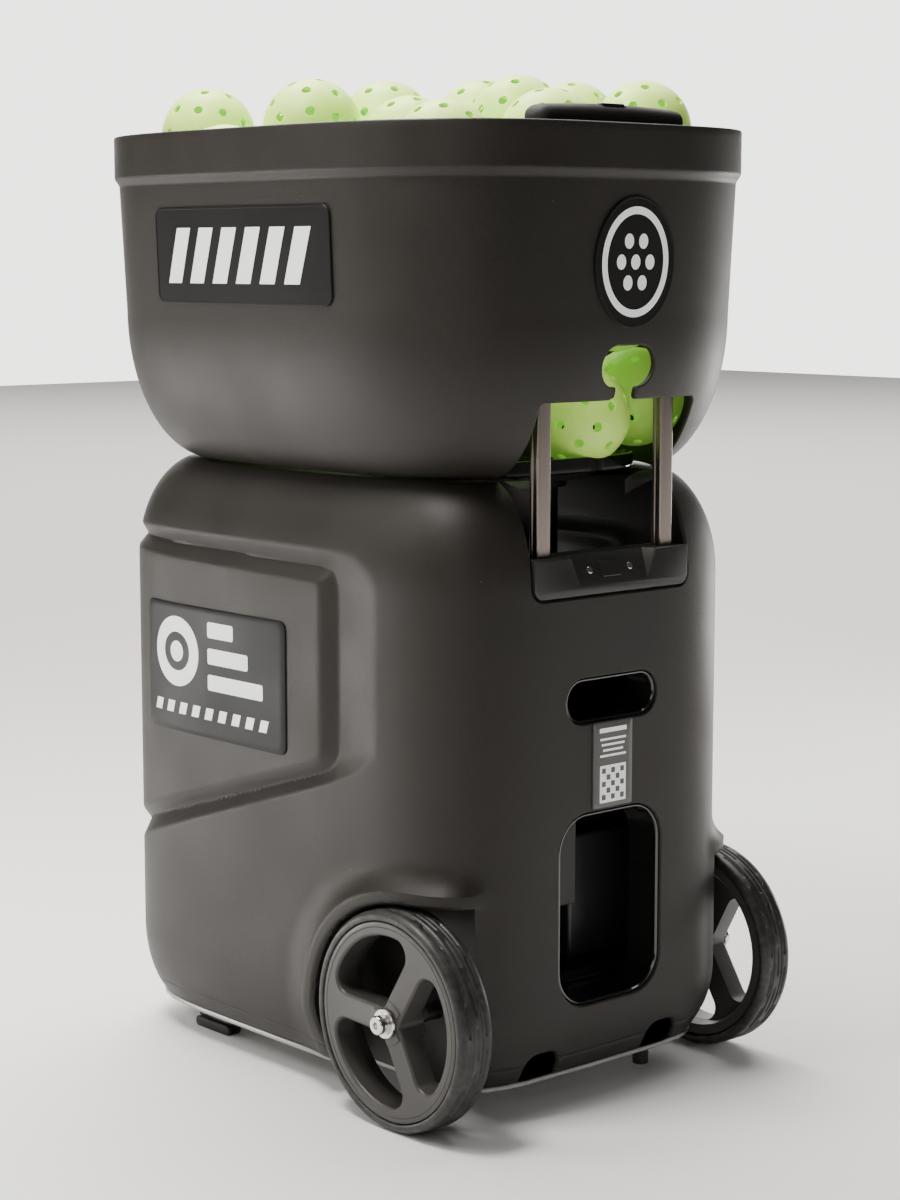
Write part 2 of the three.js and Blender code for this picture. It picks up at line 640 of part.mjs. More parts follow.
// Closed solid through rings of equal length, capped by fans.
function skin(rings) {
  const sides = rings[0].length;
  const vertices = rings.flat();
  const middle = (ring) => [0, 1, 2].map((k) => ring.reduce((sum, point) => sum + point[k], 0) / sides);
  const first = vertices.push(middle(rings[0])) - 1;
  const last = vertices.push(middle(rings[rings.length - 1])) - 1;
  const triangles = [];
  const lastRing = (rings.length - 1) * sides;
  for (let i = 0; i < sides; i += 1) {
    const next = (i + 1) % sides;
    for (let ring = 0; ring < lastRing; ring += sides) {
      triangles.push(ring + i, ring + next, ring + sides + next, ring + i, ring + sides + next, ring + sides + i);
    }
    triangles.push(first, next, i, last, lastRing + i, lastRing + next);
  }
  const geometry = new THREE.BufferGeometry();
  geometry.setAttribute("position", new THREE.Float32BufferAttribute(vertices.flat(), 3));
  geometry.setIndex(triangles);
  return solid(geometry);
}

function feedChute() {
  const outside = chuteTube(CHUTE.inner + CHUTE.wall, CHUTE.top, 0.3);
  const inside = chuteTube(CHUTE.inner, CHUTE.top + 5, 5);
  const flange = rod("z", CHUTE.inner + 9, [0, CHUTE.y, CHUTE.top - 3], 6.5, 20);
  return outside.add(flange).subtract(inside);
}

// ---------------------------------------------------------------- launch head

const PIVOT = { y: LAUNCH.y, z: LAUNCH.tiltZ };
const YOKE = { ear: 50, thickness: 4, base: 146 };
const WHEEL_X = LAUNCH.nip / 2 + LAUNCH.wheelRadius;

const STAND = { side: 62, halfDepth: 45, sheet: 3, footReach: 80 };

// Bent bracket under the head, standing on the base plate.
function headStand() {
  const { side, halfDepth, sheet, footReach } = STAND;
  const top = YOKE.base - 3;
  const y = [PIVOT.y - halfDepth, PIVOT.y + halfDepth];
  const deck = block([-side, side], y, [top - sheet, top]);
  const legs = [-side, side - sheet].map((x) => block([x, x + sheet], y, [BODY.bottom, top]));
  const feet = [[-footReach, sheet - side], [side - sheet, footReach]].map((x) => (
    block(x, y, [BODY.bottom, BODY.bottom + sheet])
  ));
  const shaftHole = rod("z", 9, [0, PIVOT.y, top - 10], 20, 20);
  return join(deck, ...legs, ...feet).subtract(shaftHole);
}

function swivelGearmotor() {
  const top = YOKE.base - 6 - GAP;
  const gearbox = rod("z", 27, [0, PIVOT.y, top - 36], 36, 24);
  const can = rod("z", 18, [0, PIVOT.y, top - 82], 50, 20);
  return gearbox.add(can);
}

function swivelYoke() {
  const base = YOKE.base;
  const ear = (x) => {
    const start = x - YOKE.thickness / 2;
    const plate = block([start, start + YOKE.thickness], [PIVOT.y - 16, PIVOT.y + 16], [base, PIVOT.z]);
    const crown = rod("x", 16, [start, PIVOT.y, PIVOT.z], YOKE.thickness, 24);
    return plate.add(crown);
  };
  const disc = rod("z", 56, [0, PIVOT.y, base - 2.5], 4, 24);
  const spindle = rod("z", 7, [0, PIVOT.y, base - 5.5], 5, 20);
  const bores = rod("x", 5 + GAP, [-70, PIVOT.y, PIVOT.z], 140, 16);
  return join(disc, spindle, ear(YOKE.ear), ear(-YOKE.ear)).subtract(bores);
}

function tiltGearmotor() {
  const start = YOKE.ear + YOKE.thickness / 2 + GAP;
  const gearbox = rod("x", 13, [start, PIVOT.y, PIVOT.z], 16, 20);
  const can = rod("x", 11, [start + 15, PIVOT.y, PIVOT.z], 26, 20);
  return gearbox.add(can).subtract(rod("x", 5 + GAP, [start - 1, PIVOT.y, PIVOT.z], 12, 16));
}

const CRADLE = { bottom: 198, top: 291, side: 129, halfDepth: 25, sheet: 3 };

// U-shaped cradle that carries the launch wheels, with two ears on the tilt axis.
function headCradle() {
  const y = [PIVOT.y - CRADLE.halfDepth, PIVOT.y + CRADLE.halfDepth];
  const floor = block([-CRADLE.side, CRADLE.side], y, [CRADLE.bottom, CRADLE.bottom + CRADLE.sheet]);
  const walls = [-CRADLE.side, CRADLE.side - CRADLE.sheet].map((x) => (
    block([x, x + CRADLE.sheet], y, [CRADLE.bottom, CRADLE.top])
  ));
  const ears = [1, -1].map((side) => {
    const x = side * (YOKE.ear - 6);
    const plate = block([x - 2, x + 2], [PIVOT.y - 10, PIVOT.y + 10], [PIVOT.z, CRADLE.bottom + 1]);
    return plate.add(rod("x", 10, [x - 2, PIVOT.y, PIVOT.z], 4, 20));
  });
  const bores = rod("x", 5 + GAP, [-70, PIVOT.y, PIVOT.z], 140, 16);
  return join(floor, ...walls, ...ears).subtract(bores);
}

// Shaft on the tilt axis, turned by the gearmotor.
function tiltShaft() {
  return rod("x", 5, [-56, PIVOT.y, PIVOT.z], 118, 16);
}

function motorPlate() {
  const y = [PIVOT.y - CRADLE.halfDepth, PIVOT.y + CRADLE.halfDepth];
  const plate = block([-CRADLE.side, CRADLE.side], y, [CRADLE.top + GAP, CRADLE.top + 4]);
  const holes = [1, -1].map((side) => rod("z", 8, [side * WHEEL_X, PIVOT.y, CRADLE.top - 5], 20, 16));
  return cut(plate, ...holes);
}

// Shallow trough that keeps the ball in line under the wheels.
function ballGuide() {
  const shape = new THREE.Shape();
  const [inner, spread] = [BALL_DIAMETER / 2 + 2, 0.83];
  const middle = -Math.PI / 2;
  shape.absarc(0, LAUNCH.z, inner + 2.5, middle - spread, middle + spread);
  shape.absarc(0, LAUNCH.z, inner, middle + spread, middle - spread, true);
  const trough = extrude("y", shape, PIVOT.y - 70, PIVOT.y + 62, 8);
  const foot = block([-12, 12], [PIVOT.y - 20, PIVOT.y + 20], [CRADLE.bottom + CRADLE.sheet + GAP, 210.2]);
  return trough.add(foot);
}

function launchMotor(side) {
  const base = CRADLE.top + 4 + GAP;
  const can = rod("z", 19, [side * WHEEL_X, PIVOT.y, base], 56, 24);
  return can.add(rod("z", 7, [side * WHEEL_X, PIVOT.y, base + 54], 6, 16));
}

// Soft tread with a hollow that fits the ball, about the wheel's own axis.
function launchTread() {
  const R = LAUNCH.wheelRadius;
  const half = LAUNCH.wheelWidth / 2;
  return turned("z", [[32, -half], [R, -half], [R - 2.5, -8], [R - 2.5, 8], [R, half], [32, half]], 28);
}

function launchHub() {
  const half = LAUNCH.wheelWidth / 2;
  const reachUp = CRADLE.top - LAUNCH.z + 4;
  const rim = 32 - GAP;
  return turned("z", [[0, -10], [9, -10], [9, -6], [rim - 4, -6], [rim - 4, -half], [rim, -half], [rim, half],
    [rim - 4, half], [rim - 4, 2], [6, 2], [6, reachUp], [0, reachUp]], 20);
}

// ---------------------------------------------------------------- electrics

const CONTROL = { left: 10, right: 119, front: 124, rear: 190, bottom: 144, top: 262 };

function controlBox() {
  const outline = polygon([
    [CONTROL.left, CONTROL.front], [CONTROL.right, CONTROL.front], [CONTROL.right, CONTROL.rear - 6],
    [CONTROL.right - 6, CONTROL.rear], [CONTROL.left + 6, CONTROL.rear], [CONTROL.left, CONTROL.rear - 6],
  ]);
  const box = extrude("z", outline, CONTROL.bottom, CONTROL.top);
  const rockerWell = block([CONTROL.left - 1, CONTROL.left + 7], [160, 178], [165, 191]);
  const socketWell = rod("x", 7 + GAP, [CONTROL.left - 1, 169, 212], 12, 20);
  const wheelRoom = archPocket(1, ARCH.wall + 1);
  return cut(box, rockerWell, socketWell, wheelRoom);
}

// Rocker that turns about a vertical pin in its well.
function powerRocker() {
  const outline = polygon([[3.5, 162], [6.5, 161.5], [10, 169], [6.5, 176.5], [3.5, 176]]);
  const points = outline.getPoints().map((point) => new THREE.Vector2(CONTROL.left + 8 - point.x - 2.4, point.y));
  return extrude("z", new THREE.Shape(points.reverse()), 167, 189);
}

function chargeSocket() {
  const start = CONTROL.left - 0.5;
  return turned("x", [[0, 4], [2.2, 4], [2.2, 0.5], [5, 0.5], [5, 0], [7, 0], [7, 9], [0, 9]], 12)
    .translate([start, 169, 212]);
}

// Rubber cap hinged above the charging socket.
function chargeCap() {
  const disc = turned("x", [[0, -3], [8, -3], [8, -0.2], [0, -0.2]], 20).translate([CONTROL.left - 0.6, 169, 212]);
  const strap = block([CONTROL.left - 3.6, CONTROL.left - 0.8], [166, 172], [218, 226]);
  return disc.add(strap);
}

const BATTERY = { right: -110, left: -22, front: 64, rear: 144, bottom: 60, top: 180 };
const BATTERY_TRAY = { sheet: 3, top: 84, shelf: 5 };

// Block round the battery's footprint, grown sideways and given its own heights.
function batteryRoom(grow, low, high) {
  return block([BATTERY.right - grow, BATTERY.left + grow], [BATTERY.front - grow, BATTERY.rear + grow], [low, high]);
}

function battery() {
  return batteryRoom(0, BATTERY.bottom, BATTERY.top);
}

// Open box on four walls, with a shelf that the battery stands on.
function batteryTray() {
  const { sheet, top, shelf } = BATTERY_TRAY;
  const tray = batteryRoom(sheet, BODY.bottom, top);
  const hollow = batteryRoom(GAP, BATTERY.bottom - GAP, top + 6);
  const lower = batteryRoom(-sheet, BODY.bottom - 1, BATTERY.bottom - shelf);
  return cut(tray, hollow, lower, archPocket(-1, ARCH.wall + 1));
}

// Gloss sleeve that lines an opening in the rear wall.
function accessLiner() {
  const outer = roundedRectangle(ACCESS.halfWidth - GAP, ACCESS.bottom + GAP, ACCESS.top - GAP, ACCESS.corner);
  const inner = roundedRectangle(ACCESS.halfWidth - 3, ACCESS.bottom + 3, ACCESS.top - 3, ACCESS.corner - 2.7);
  const sleeve = extrude("y", outer, 180, 208, 5).subtract(extrude("y", inner, 170, 215, 5));
  const boxRoom = block([CONTROL.left - 1, 130], [100, CONTROL.rear + 1], [CONTROL.bottom - 1, 300]);
  return sleeve.subtract(boxRoom);
}

function slotLiner() {
  const [half, low, high] = [HAND_SLOT.halfWidth, HAND_SLOT.bottom, HAND_SLOT.top];
  const outer = roundedRectangle(half - GAP, low + GAP, high - GAP, (high - low) / 2 - 0.5);
  const inner = roundedRectangle(half - 3, low + 3, high - 3, (high - low) / 2 - 3.2);
  return extrude("y", outer, 184, 208, 5).subtract(extrude("y", inner, 180, 215, 5));
}

// ---------------------------------------------------------------- assembly

const machine = new THREE.Group();
machine.position.y = -FRAME_SHIFT;

function place(name, body, material, position = [0, 0, 0], parent = machine) {
  const mesh = new THREE.Mesh(geometryOf(body), material);
  mesh.name = name;
  mesh.position.set(...position);
  parent.add(mesh);
  return mesh;
}

const SIDES = { left: 1, right: -1 };

place("body_shell", bodyShell(), SHELL_PLASTIC);
place("base_plate", basePlate(), PLATE_METAL);
place("rear_bumper", rearBumper(), RUBBER);
place("axle", axle(), BLACK_STEEL);
place("handle_bezel", handleBezel(), SATIN_PLASTIC);
place("feed_tray", feedTray(), GLOSS_PLASTIC);
place("feed_gearmotor", feedGearmotor(), BRIGHT_STEEL);
place("feed_chute", feedChute(), SATIN_PLASTIC);
place("head_stand", headStand(), BLACK_STEEL);
place("swivel_gearmotor", swivelGearmotor(), BRIGHT_STEEL);
place("control_box", controlBox(), SHELL_PLASTIC);
place("battery", battery(), BATTERY_WRAP);
place("battery_tray", batteryTray(), BLACK_STEEL);
place("access_liner", accessLiner(), GLOSS_PLASTIC);
place("slot_liner", slotLiner(), GLOSS_PLASTIC);
place("guide_label", guideLabel(), LABEL_FILM);
place("charge_socket", chargeSocket(), BRIGHT_STEEL);
place("power_rocker", powerRocker(), GLOSS_PLASTIC);
place("charge_cap", chargeCap(), RUBBER);

place("hopper_shell", hopperShell(), SHELL_PLASTIC);
place("rear_badge", rearBadge(), LABEL_FILM);
place("carousel", carousel(), SATIN_PLASTIC);
place("carousel_shaft", carouselShaft(), BRIGHT_STEEL);

place("grip", grip(), RUBBER);
place("grip_button", gripButton(), GLOSS_PLASTIC);

place("swivel_yoke", swivelYoke(), BLACK_STEEL);
place("tilt_gearmotor", tiltGearmotor(), BRIGHT_STEEL);
place("head_cradle", headCradle(), BLACK_STEEL);
place("tilt_shaft", tiltShaft(), BRIGHT_STEEL);
place("motor_plate", motorPlate(), BLACK_STEEL);
place("ball_guide", ballGuide(), SATIN_PLASTIC);

for (const [name, side] of Object.entries(SIDES)) {
  place(`front_foot_${name}`, footBracket(side), BLACK_STEEL);
  place(`foot_pad_${name}`, footPad(side), RUBBER);
  place(`handle_tube_${name}`, handleTube(side), BLACK_STEEL);
  place(`handle_rod_${name}`, handleRod(side), ROD_METAL);
  place(`nameplate_${name}`, nameplate(side), LABEL_FILM);
  place(`side_label_${name}`, sideLabel(side), LABEL_FILM);

  const corner = new THREE.Group();
  corner.position.set(side * ROAD_WHEEL.outerFace, ROAD_WHEEL.axleY, AXLE_Z);
  corner.rotation.y = side > 0 ? 0 : Math.PI;
  machine.add(corner);
  const inward = [-ROAD_WHEEL.width, 0, 0];
  place(`tyre_${name}`, tyre(), RUBBER, inward, corner);
  place(`wheel_hub_${name}`, wheelHub(), SATIN_PLASTIC, inward, corner);
  place(`wheel_bush_${name}`, wheelBush(), BRIGHT_STEEL, inward, corner);
  place(`axle_washer_${name}`, axleWasher(), BRIGHT_STEEL, [1.5, 0, 0], corner);
  place(`axle_bolt_${name}`, axleBolt(), BRIGHT_STEEL, [1.5, 0, 0], corner);

  const wheel = new THREE.Group();
  wheel.position.set(side * WHEEL_X, LAUNCH.y, LAUNCH.z);
  machine.add(wheel);
  place(`launch_tread_${name}`, launchTread(), RUBBER, [0, 0, 0], wheel);
  place(`launch_hub_${name}`, launchHub(), PLATE_METAL, [0, 0, 0], wheel);
  place(`launch_motor_${name}`, launchMotor(side), BRIGHT_STEEL);
}

export default machine;
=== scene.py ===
import json
import math

import bmesh
import bpy
import numpy as np
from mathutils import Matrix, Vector


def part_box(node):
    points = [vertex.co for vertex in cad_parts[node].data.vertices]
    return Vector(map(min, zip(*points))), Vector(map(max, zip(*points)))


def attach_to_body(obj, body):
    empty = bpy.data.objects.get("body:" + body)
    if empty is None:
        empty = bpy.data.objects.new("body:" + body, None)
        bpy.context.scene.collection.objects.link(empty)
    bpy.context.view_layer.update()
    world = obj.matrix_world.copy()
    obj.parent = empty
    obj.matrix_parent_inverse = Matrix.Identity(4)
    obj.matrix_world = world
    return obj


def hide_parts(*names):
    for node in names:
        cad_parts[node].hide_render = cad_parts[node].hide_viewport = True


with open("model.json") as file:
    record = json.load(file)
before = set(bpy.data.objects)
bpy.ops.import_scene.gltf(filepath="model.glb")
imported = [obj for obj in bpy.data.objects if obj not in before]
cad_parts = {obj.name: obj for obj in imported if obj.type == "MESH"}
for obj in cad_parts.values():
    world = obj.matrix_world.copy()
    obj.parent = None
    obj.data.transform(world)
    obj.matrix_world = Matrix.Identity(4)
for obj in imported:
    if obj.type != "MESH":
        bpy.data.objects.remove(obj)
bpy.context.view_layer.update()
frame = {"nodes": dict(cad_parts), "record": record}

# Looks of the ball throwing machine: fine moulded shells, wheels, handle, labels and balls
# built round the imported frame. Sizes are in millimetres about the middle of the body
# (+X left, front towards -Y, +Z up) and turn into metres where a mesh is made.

MM = 0.001
NODES = frame["nodes"]
SIDES = {"left": 1, "right": -1}


def cad_box(node):
    """Lowest and highest corner of a CAD node, in millimetres of the row frame."""
    low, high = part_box(node)
    return np.array(low) / MM, np.array(high) / MM


HOPPER_LOW, HOPPER_HIGH = cad_box("hopper_shell")
MIDDLE_Y = (HOPPER_LOW[1] + HOPPER_HIGH[1]) / 2

# ------------------------------------------------------------------ driving dimensions

BALL_RADIUS = 37.0
# plans of the mouldings: half width a along X, half depth b along Y, and how square the corners are
HOPPER = {"a": HOPPER_HIGH[0], "b": HOPPER_HIGH[1] - MIDDLE_Y, "power": 3.65}
HOPPER_TOP = HOPPER_HIGH[2]
HOPPER_BOTTOM = HOPPER_LOW[2]
HOPPER_WALL = 4.0
BODY = {"a": 152.6, "b": 209.9, "power": 5.2}
BODY_TOP = 452.0
BODY_BOTTOM = 25.5
BODY_WALL = 4.5
SHOULDER = {"start": 375.0, "height": 80.0, "inset": 44.0}
SKIRT = {"start": 80.0, "height": 62.0, "inset": 24.0}
SEAM_Z = 38.0
ARCH = {"y": 160.0, "z": 72.0, "a": 91.0, "b": 88.0, "inner": 122.0}
RECESS = {"half": 77.0, "floor": 371.0, "back": 184.0, "corner": 9.0}
# rounded rectangles on a wall: half width, lowest and highest level, corner radius and middle
ACCESS = {"half": 51.5, "low": 74.0, "high": 215.0, "radius": 28.0}
SLOT = {"half": 45.5, "low": 279.5, "high": 312.5, "radius": 16.4}
EXIT = {"half": 60.0, "low": 170.0, "high": 350.0, "radius": 24.0}
NOTCH = {"half": 16.0, "low": 0.0, "high": 45.0, "radius": 11.0}
NAMEPLATE = {"half": 103.0, "low": 573.0, "high": 643.0, "radius": 8.0, "middle": -1.0}
SIDE_LABEL = {"half": 89.5, "low": 246.0, "high": 345.0, "radius": 7.0, "middle": -61.5}
GUIDE_LABEL = {"half": 19.6, "low": 217.0, "high": 279.0, "radius": 1.2}
BADGE_Z = 603.5
# how far cutters reach: behind the rear wall, over the recess, and through the top of the body
PAST_REAR = 260.0
OVER_RECESS = 480.0
# how far in the cutter with the rounded edge goes at the recess
FLARE_DEPTH = 24.5
THROUGH_TOP = (430.0, 460.0)
ROD_X = 61.0
ROD_Y = 198.0
ROD_WELL = {"half_x": 8.4, "half_y": 7.0, "low": 57.0}
GRIP_LOW, GRIP_HIGH = cad_box("grip")
TYRE_LOW, TYRE_HIGH = cad_box("tyre_left")
WHEEL_RADIUS = (TYRE_HIGH[2] - TYRE_LOW[2]) / 2
WHEEL_WIDTH = TYRE_HIGH[0] - TYRE_LOW[0]
WHEEL_Y = (TYRE_LOW[1] + TYRE_HIGH[1]) / 2 - MIDDLE_Y
WHEEL_Z = WHEEL_RADIUS
HUB_RADIUS = 0.903 * WHEEL_RADIUS
SPOKE_ANGLE = 58.0
CHUTE_Y = 90.0
CREASE_ANGLE = math.radians(32)


# ------------------------------------------------------------------ node materials


class Finish:
    """A material being put together: node() adds a node, link() joins two sockets."""

    def __init__(self, name, roughness=0.5, metallic=0.0, **constants):
        self.material = bpy.data.materials.new(name)
        self.material.use_nodes = True
        self.tree = self.material.node_tree
        self.shader = self.tree.nodes["Principled BSDF"]
        self.shader.inputs["Roughness"].default_value = roughness
        self.shader.inputs["Metallic"].default_value = metallic
        for socket, value in constants.items():
            self.shader.inputs[socket.replace("_", " ")].default_value = value
        self.place = self.node("ShaderNodeTexCoord").outputs["Object"]

    def node(self, kind, **values):
        made = self.tree.nodes.new(kind)
        for name, value in values.items():
            if name in made.bl_rna.properties:
                setattr(made, name, value)
            else:
                made.inputs[name.replace("_", " ")].default_value = value
        return made

    def link(self, output, node, socket):
        self.tree.links.new(output, node.inputs[socket])

    def noise(self, scale, detail=2.0, roughness=0.5, place=None):
        made = self.node("ShaderNodeTexNoise", Scale=scale, Detail=detail, Roughness=roughness)
        self.link(place or self.place, made, "Vector")
        return made.outputs["Fac"]

    def cells(self, scale):
        made = self.node("ShaderNodeTexVoronoi", Scale=scale)
        self.link(self.place, made, "Vector")
        return made.outputs["Distance"]

    def stretched(self, x, y, z):
        made = self.node("ShaderNodeMapping")
        made.inputs["Scale"].default_value = (x, y, z)
        self.link(self.place, made, "Vector")
        return made.outputs["Vector"]

    def remap(self, value, low, high, to_low, to_high):
        made = self.node("ShaderNodeMapRange")
        for socket, number in zip(("From Min", "From Max", "To Min", "To Max"), (low, high, to_low, to_high)):
            made.inputs[socket].default_value = number
        self.link(value, made, "Value")
        return made.outputs["Result"]

    def math(self, operation, first, second):
        made = self.node("ShaderNodeMath", operation=operation)
        for i, value in enumerate((first, second)):
            if isinstance(value, (int, float)):
                made.inputs[i].default_value = value
            else:
                self.tree.links.new(value, made.inputs[i])
        return made.outputs[0]

    def colour(self, factor, low, high):
        """Base colour that runs from one colour to another with a factor."""
        made = self.node("ShaderNodeMix", data_type="RGBA")
        made.inputs["A"].default_value = (*low, 1)
        made.inputs["B"].default_value = (*high, 1)
        self.link(factor, made, "Factor")
        self.link(made.outputs["Result"], self.shader, "Base Color")
        return made

    def rough(self, factor, low, high):
        self.link(self.remap(factor, 0.3, 0.7, low, high), self.shader, "Roughness")

    def bump(self, height, distance, strength):
        made = self.node("ShaderNodeBump", Distance=distance, Strength=strength)
        self.link(height, made, "Height")
        self.link(made.outputs["Normal"], self.shader, "Normal")


def clouded(finish, cloud, low, high, rough, grain):
    """Finish whose colour and roughness drift with a slow noise, under a fine grain.

    cloud is (scale, detail), rough is (low, high) and grain is (scale, detail, height, strength)."""
    drift = finish.noise(*cloud)
    finish.colour(drift, low, high)
    finish.rough(drift, *rough)
    scale, detail, height, strength = grain
    finish.bump(finish.noise(scale, detail), height, strength)
    return finish.material


def shell_plastic():
    """Charcoal moulding with a fine pebble grain and a little dust."""
    f = Finish("shell_plastic", 0.48, Specular_IOR_Level=0.32)
    cloud = f.noise(14.0, 3.0)
    f.rough(cloud, 0.44, 0.54)
    grain = f.noise(1500.0, 2.0, 0.6)
    pebble = f.cells(950.0)
    shade = f.math("ADD", f.math("MULTIPLY", cloud, 0.5), f.math("MULTIPLY", grain, 0.5))
    mixed = f.colour(f.remap(shade, 0.3, 0.7, 0.0, 1.0), (0.0115, 0.0094, 0.0072), (0.019, 0.0158, 0.0124))
    dust = f.remap(f.cells(75.0), 0.018, 0.03, 1.0, 0.0)
    speck = f.math("MULTIPLY", dust, f.remap(f.noise(23.0, 0.0), 0.66, 0.7, 0.0, 0.5))
    dusty = f.node("ShaderNodeMix", data_type="RGBA")
    dusty.inputs["B"].default_value = (0.35, 0.34, 0.31, 1)
    f.link(speck, dusty, "Factor")
    f.link(mixed.outputs["Result"], dusty, "A")
    f.link(dusty.outputs["Result"], f.shader, "Base Color")
    f.bump(f.math("ADD", f.math("MULTIPLY", pebble, 0.7), grain), 0.00022, 0.55)
    return f.material


def gloss_plastic():
    """Polished black plastic with faint wiping marks."""
    f = Finish("gloss_plastic", 0.12, Coat_Weight=0.5, Coat_Roughness=0.05)
    smear = f.noise(9.0, 4.0, 0.6, f.stretched(1.0, 1.0, 0.25))
    f.colour(smear, (0.006, 0.006, 0.006), (0.014, 0.014, 0.013))
    f.rough(smear, 0.08, 0.18)
    f.bump(f.noise(60.0, 2.0), 0.00005, 0.2)
    return f.material


def satin_plastic():
    """Black satin moulding with a fine even texture."""
    return clouded(
        Finish("satin_plastic", 0.4), (22.0, 3.0), (0.014, 0.0135, 0.013), (0.026, 0.025, 0.0235),
        (0.34, 0.46), (1900.0, 2.0, 0.0001, 0.35),
    )


def hub_plastic():
    """Dark grey wheel plastic, slightly worn to satin."""
    return clouded(
        Finish("hub_plastic", 0.42), (30.0, 4.0), (0.034, 0.032, 0.029), (0.052, 0.049, 0.045),
        (0.36, 0.5), (1400.0, 3.0, 0.0001, 0.4),
    )


def rubber():
    """Soft black rubber with a dull bloom."""
    return clouded(
        Finish("rubber", 0.7, Specular_IOR_Level=0.3), (40.0, 5.0), (0.012, 0.0118, 0.0112),
        (0.028, 0.027, 0.025), (0.55, 0.8), (2400.0, 2.0, 0.0001, 0.5),
    )


def tyre_rubber():
    """Wheel rubber, scuffed grey where it rolls."""
    f = Finish("tyre_rubber", 0.5, Specular_IOR_Level=0.45)
    scuff = f.noise(170.0, 6.0, 0.7)
    f.colour(f.remap(scuff, 0.42, 0.72, 0.0, 1.0), (0.012, 0.0113, 0.0105), (0.042, 0.04, 0.037))
    f.rough(f.noise(55.0, 4.0), 0.32, 0.6)
    f.bump(f.math("ADD", f.noise(1200.0, 3.0), scuff), 0.00015, 0.4)
    return f.material


def drawn_metal(name, low, high, roughness, grain_axis):
    """Drawn or brushed metal: fine streaks along one axis (0, 1 or 2)."""
    f = Finish(name, roughness, 1.0)
    stretch = [900.0, 900.0, 900.0]
    stretch[grain_axis] = 6.0
    streak = f.noise(1.0, 3.0, 0.6, f.stretched(*stretch))
    f.colour(streak, low, high)
    f.rough(streak, roughness - 0.08, roughness + 0.1)
    f.bump(streak, 0.00004, 0.4)
    return f.material


def zinc_steel():
    """Bright plated steel with faint cloudy passivation."""
    return clouded(
        Finish("zinc_steel", 0.22, 1.0), (120.0, 4.0), (0.55, 0.54, 0.51), (0.78, 0.77, 0.74),
        (0.16, 0.32), (900.0, 2.0, 0.00003, 0.3),
    )


def powder_coat():
    """Black powder coat with a light orange peel."""
    return clouded(
        Finish("powder_coat", 0.38), (18.0, 2.0), (0.010, 0.010, 0.010), (0.018, 0.018, 0.017),
        (0.32, 0.42), (520.0, 2.0, 0.00018, 0.45),
    )


def label_film():
    """Satin black film."""
    return clouded(
        Finish("label_film", 0.45, Specular_IOR_Level=0.16), (16.0, 2.0), (0.007, 0.0068, 0.0064),
        (0.011, 0.0107, 0.0101), (0.4, 0.5), (2600.0, 1.0, 0.00005, 0.25),
    )


def guide_film():
    """Grey printed film of the guide label."""
    return clouded(
        Finish("guide_film", 0.4), (30.0, 2.0), (0.075, 0.073, 0.069), (0.095, 0.092, 0.087),
        (0.36, 0.46), (2600.0, 1.0, 0.00005, 0.25),
    )


def pale_ink_painted_glow():
    """Screen-printed pale grey ink with a painted glow: its emission stands in for light falling on it, so it
    stays legible in shade.
    """
    return clouded(
        # painted light: the emission brightens the ink as if lit from the front
        Finish("pale_ink_painted_glow", 0.45, Emission_Color=(0.9, 0.92, 0.94, 1), Emission_Strength=0.22), (90.0, 3.0),
        (0.82, 0.83, 0.84), (0.91, 0.92, 0.93), (0.4, 0.52), (3000.0, 1.0, 0.00003, 0.3),
    )


def battery_wrap():
    """Dark grey shrink wrap over the cells."""
    f = Finish("battery_wrap", 0.35)
    fold = f.noise(12.0, 3.0, 0.5, f.stretched(1.0, 1.0, 6.0))
    f.colour(fold, (0.018, 0.019, 0.021), (0.03, 0.031, 0.034))
    f.rough(fold, 0.25, 0.45)
    f.bump(fold, 0.0008, 0.3)
    return f.material


def ball_plastic_painted_glow():
    """Lime moulded ball, a little translucent, with fine scuffs and a painted glow: its emission stands in
    for light falling on it.
    """
    finish = Finish(
        "ball_plastic_painted_glow", 0.4, Subsurface_Weight=0.35, Subsurface_Scale=0.004,
        Subsurface_Radius=(0.6, 1.0, 0.3), Specular_IOR_Level=0.4,
        # painted light: the ball glows faintly though it is no lamp
        Emission_Color=(0.42, 0.8, 0.12, 1), Emission_Strength=0.14,
    )
    return clouded(
        finish, (35.0, 3.0), (0.60, 0.93, 0.14), (0.70, 0.98, 0.22), (0.32, 0.5), (700.0, 3.0, 0.0001, 0.25),
    )


def floor_paper():
    """Plain pale studio floor."""
    f = Finish("floor_paper", 0.9, Specular_IOR_Level=0.1)
    cloud = f.noise(1.5, 2.0)
    f.colour(cloud, (0.93, 0.93, 0.93), (0.96, 0.96, 0.96))
    return f.material


SHELL = shell_plastic()
GLOSS = gloss_plastic()
SATIN = satin_plastic()
HUB = hub_plastic()
RUBBER = rubber()
TYRE = tyre_rubber()
ROD_METAL = drawn_metal("rod_metal", (0.16, 0.135, 0.12), (0.25, 0.215, 0.195), 0.32, 2)
PLATE_METAL = drawn_metal("plate_metal", (0.2, 0.198, 0.19), (0.3, 0.297, 0.29), 0.4, 1)
BRIGHT = zinc_steel()
BLACK_STEEL = powder_coat()
FILM = label_film()
GUIDE_FILM = guide_film()
INK_PAINTED_GLOW = pale_ink_painted_glow()
WRAP = battery_wrap()
BALL_PAINTED_GLOW = ball_plastic_painted_glow()

SLOT_FINISH = {
    "shell_plastic": SHELL,
    "gloss_plastic": GLOSS,
    "satin_plastic": SATIN,
    "rubber": RUBBER,
    "tyre": TYRE,
    "rod_metal": ROD_METAL,
    "bright_steel": BRIGHT,
    "black_steel": BLACK_STEEL,
    "plate_metal": PLATE_METAL,
    "label_film": FILM,
    "battery_wrap": WRAP,
}

# ------------------------------------------------------------------ mesh tools


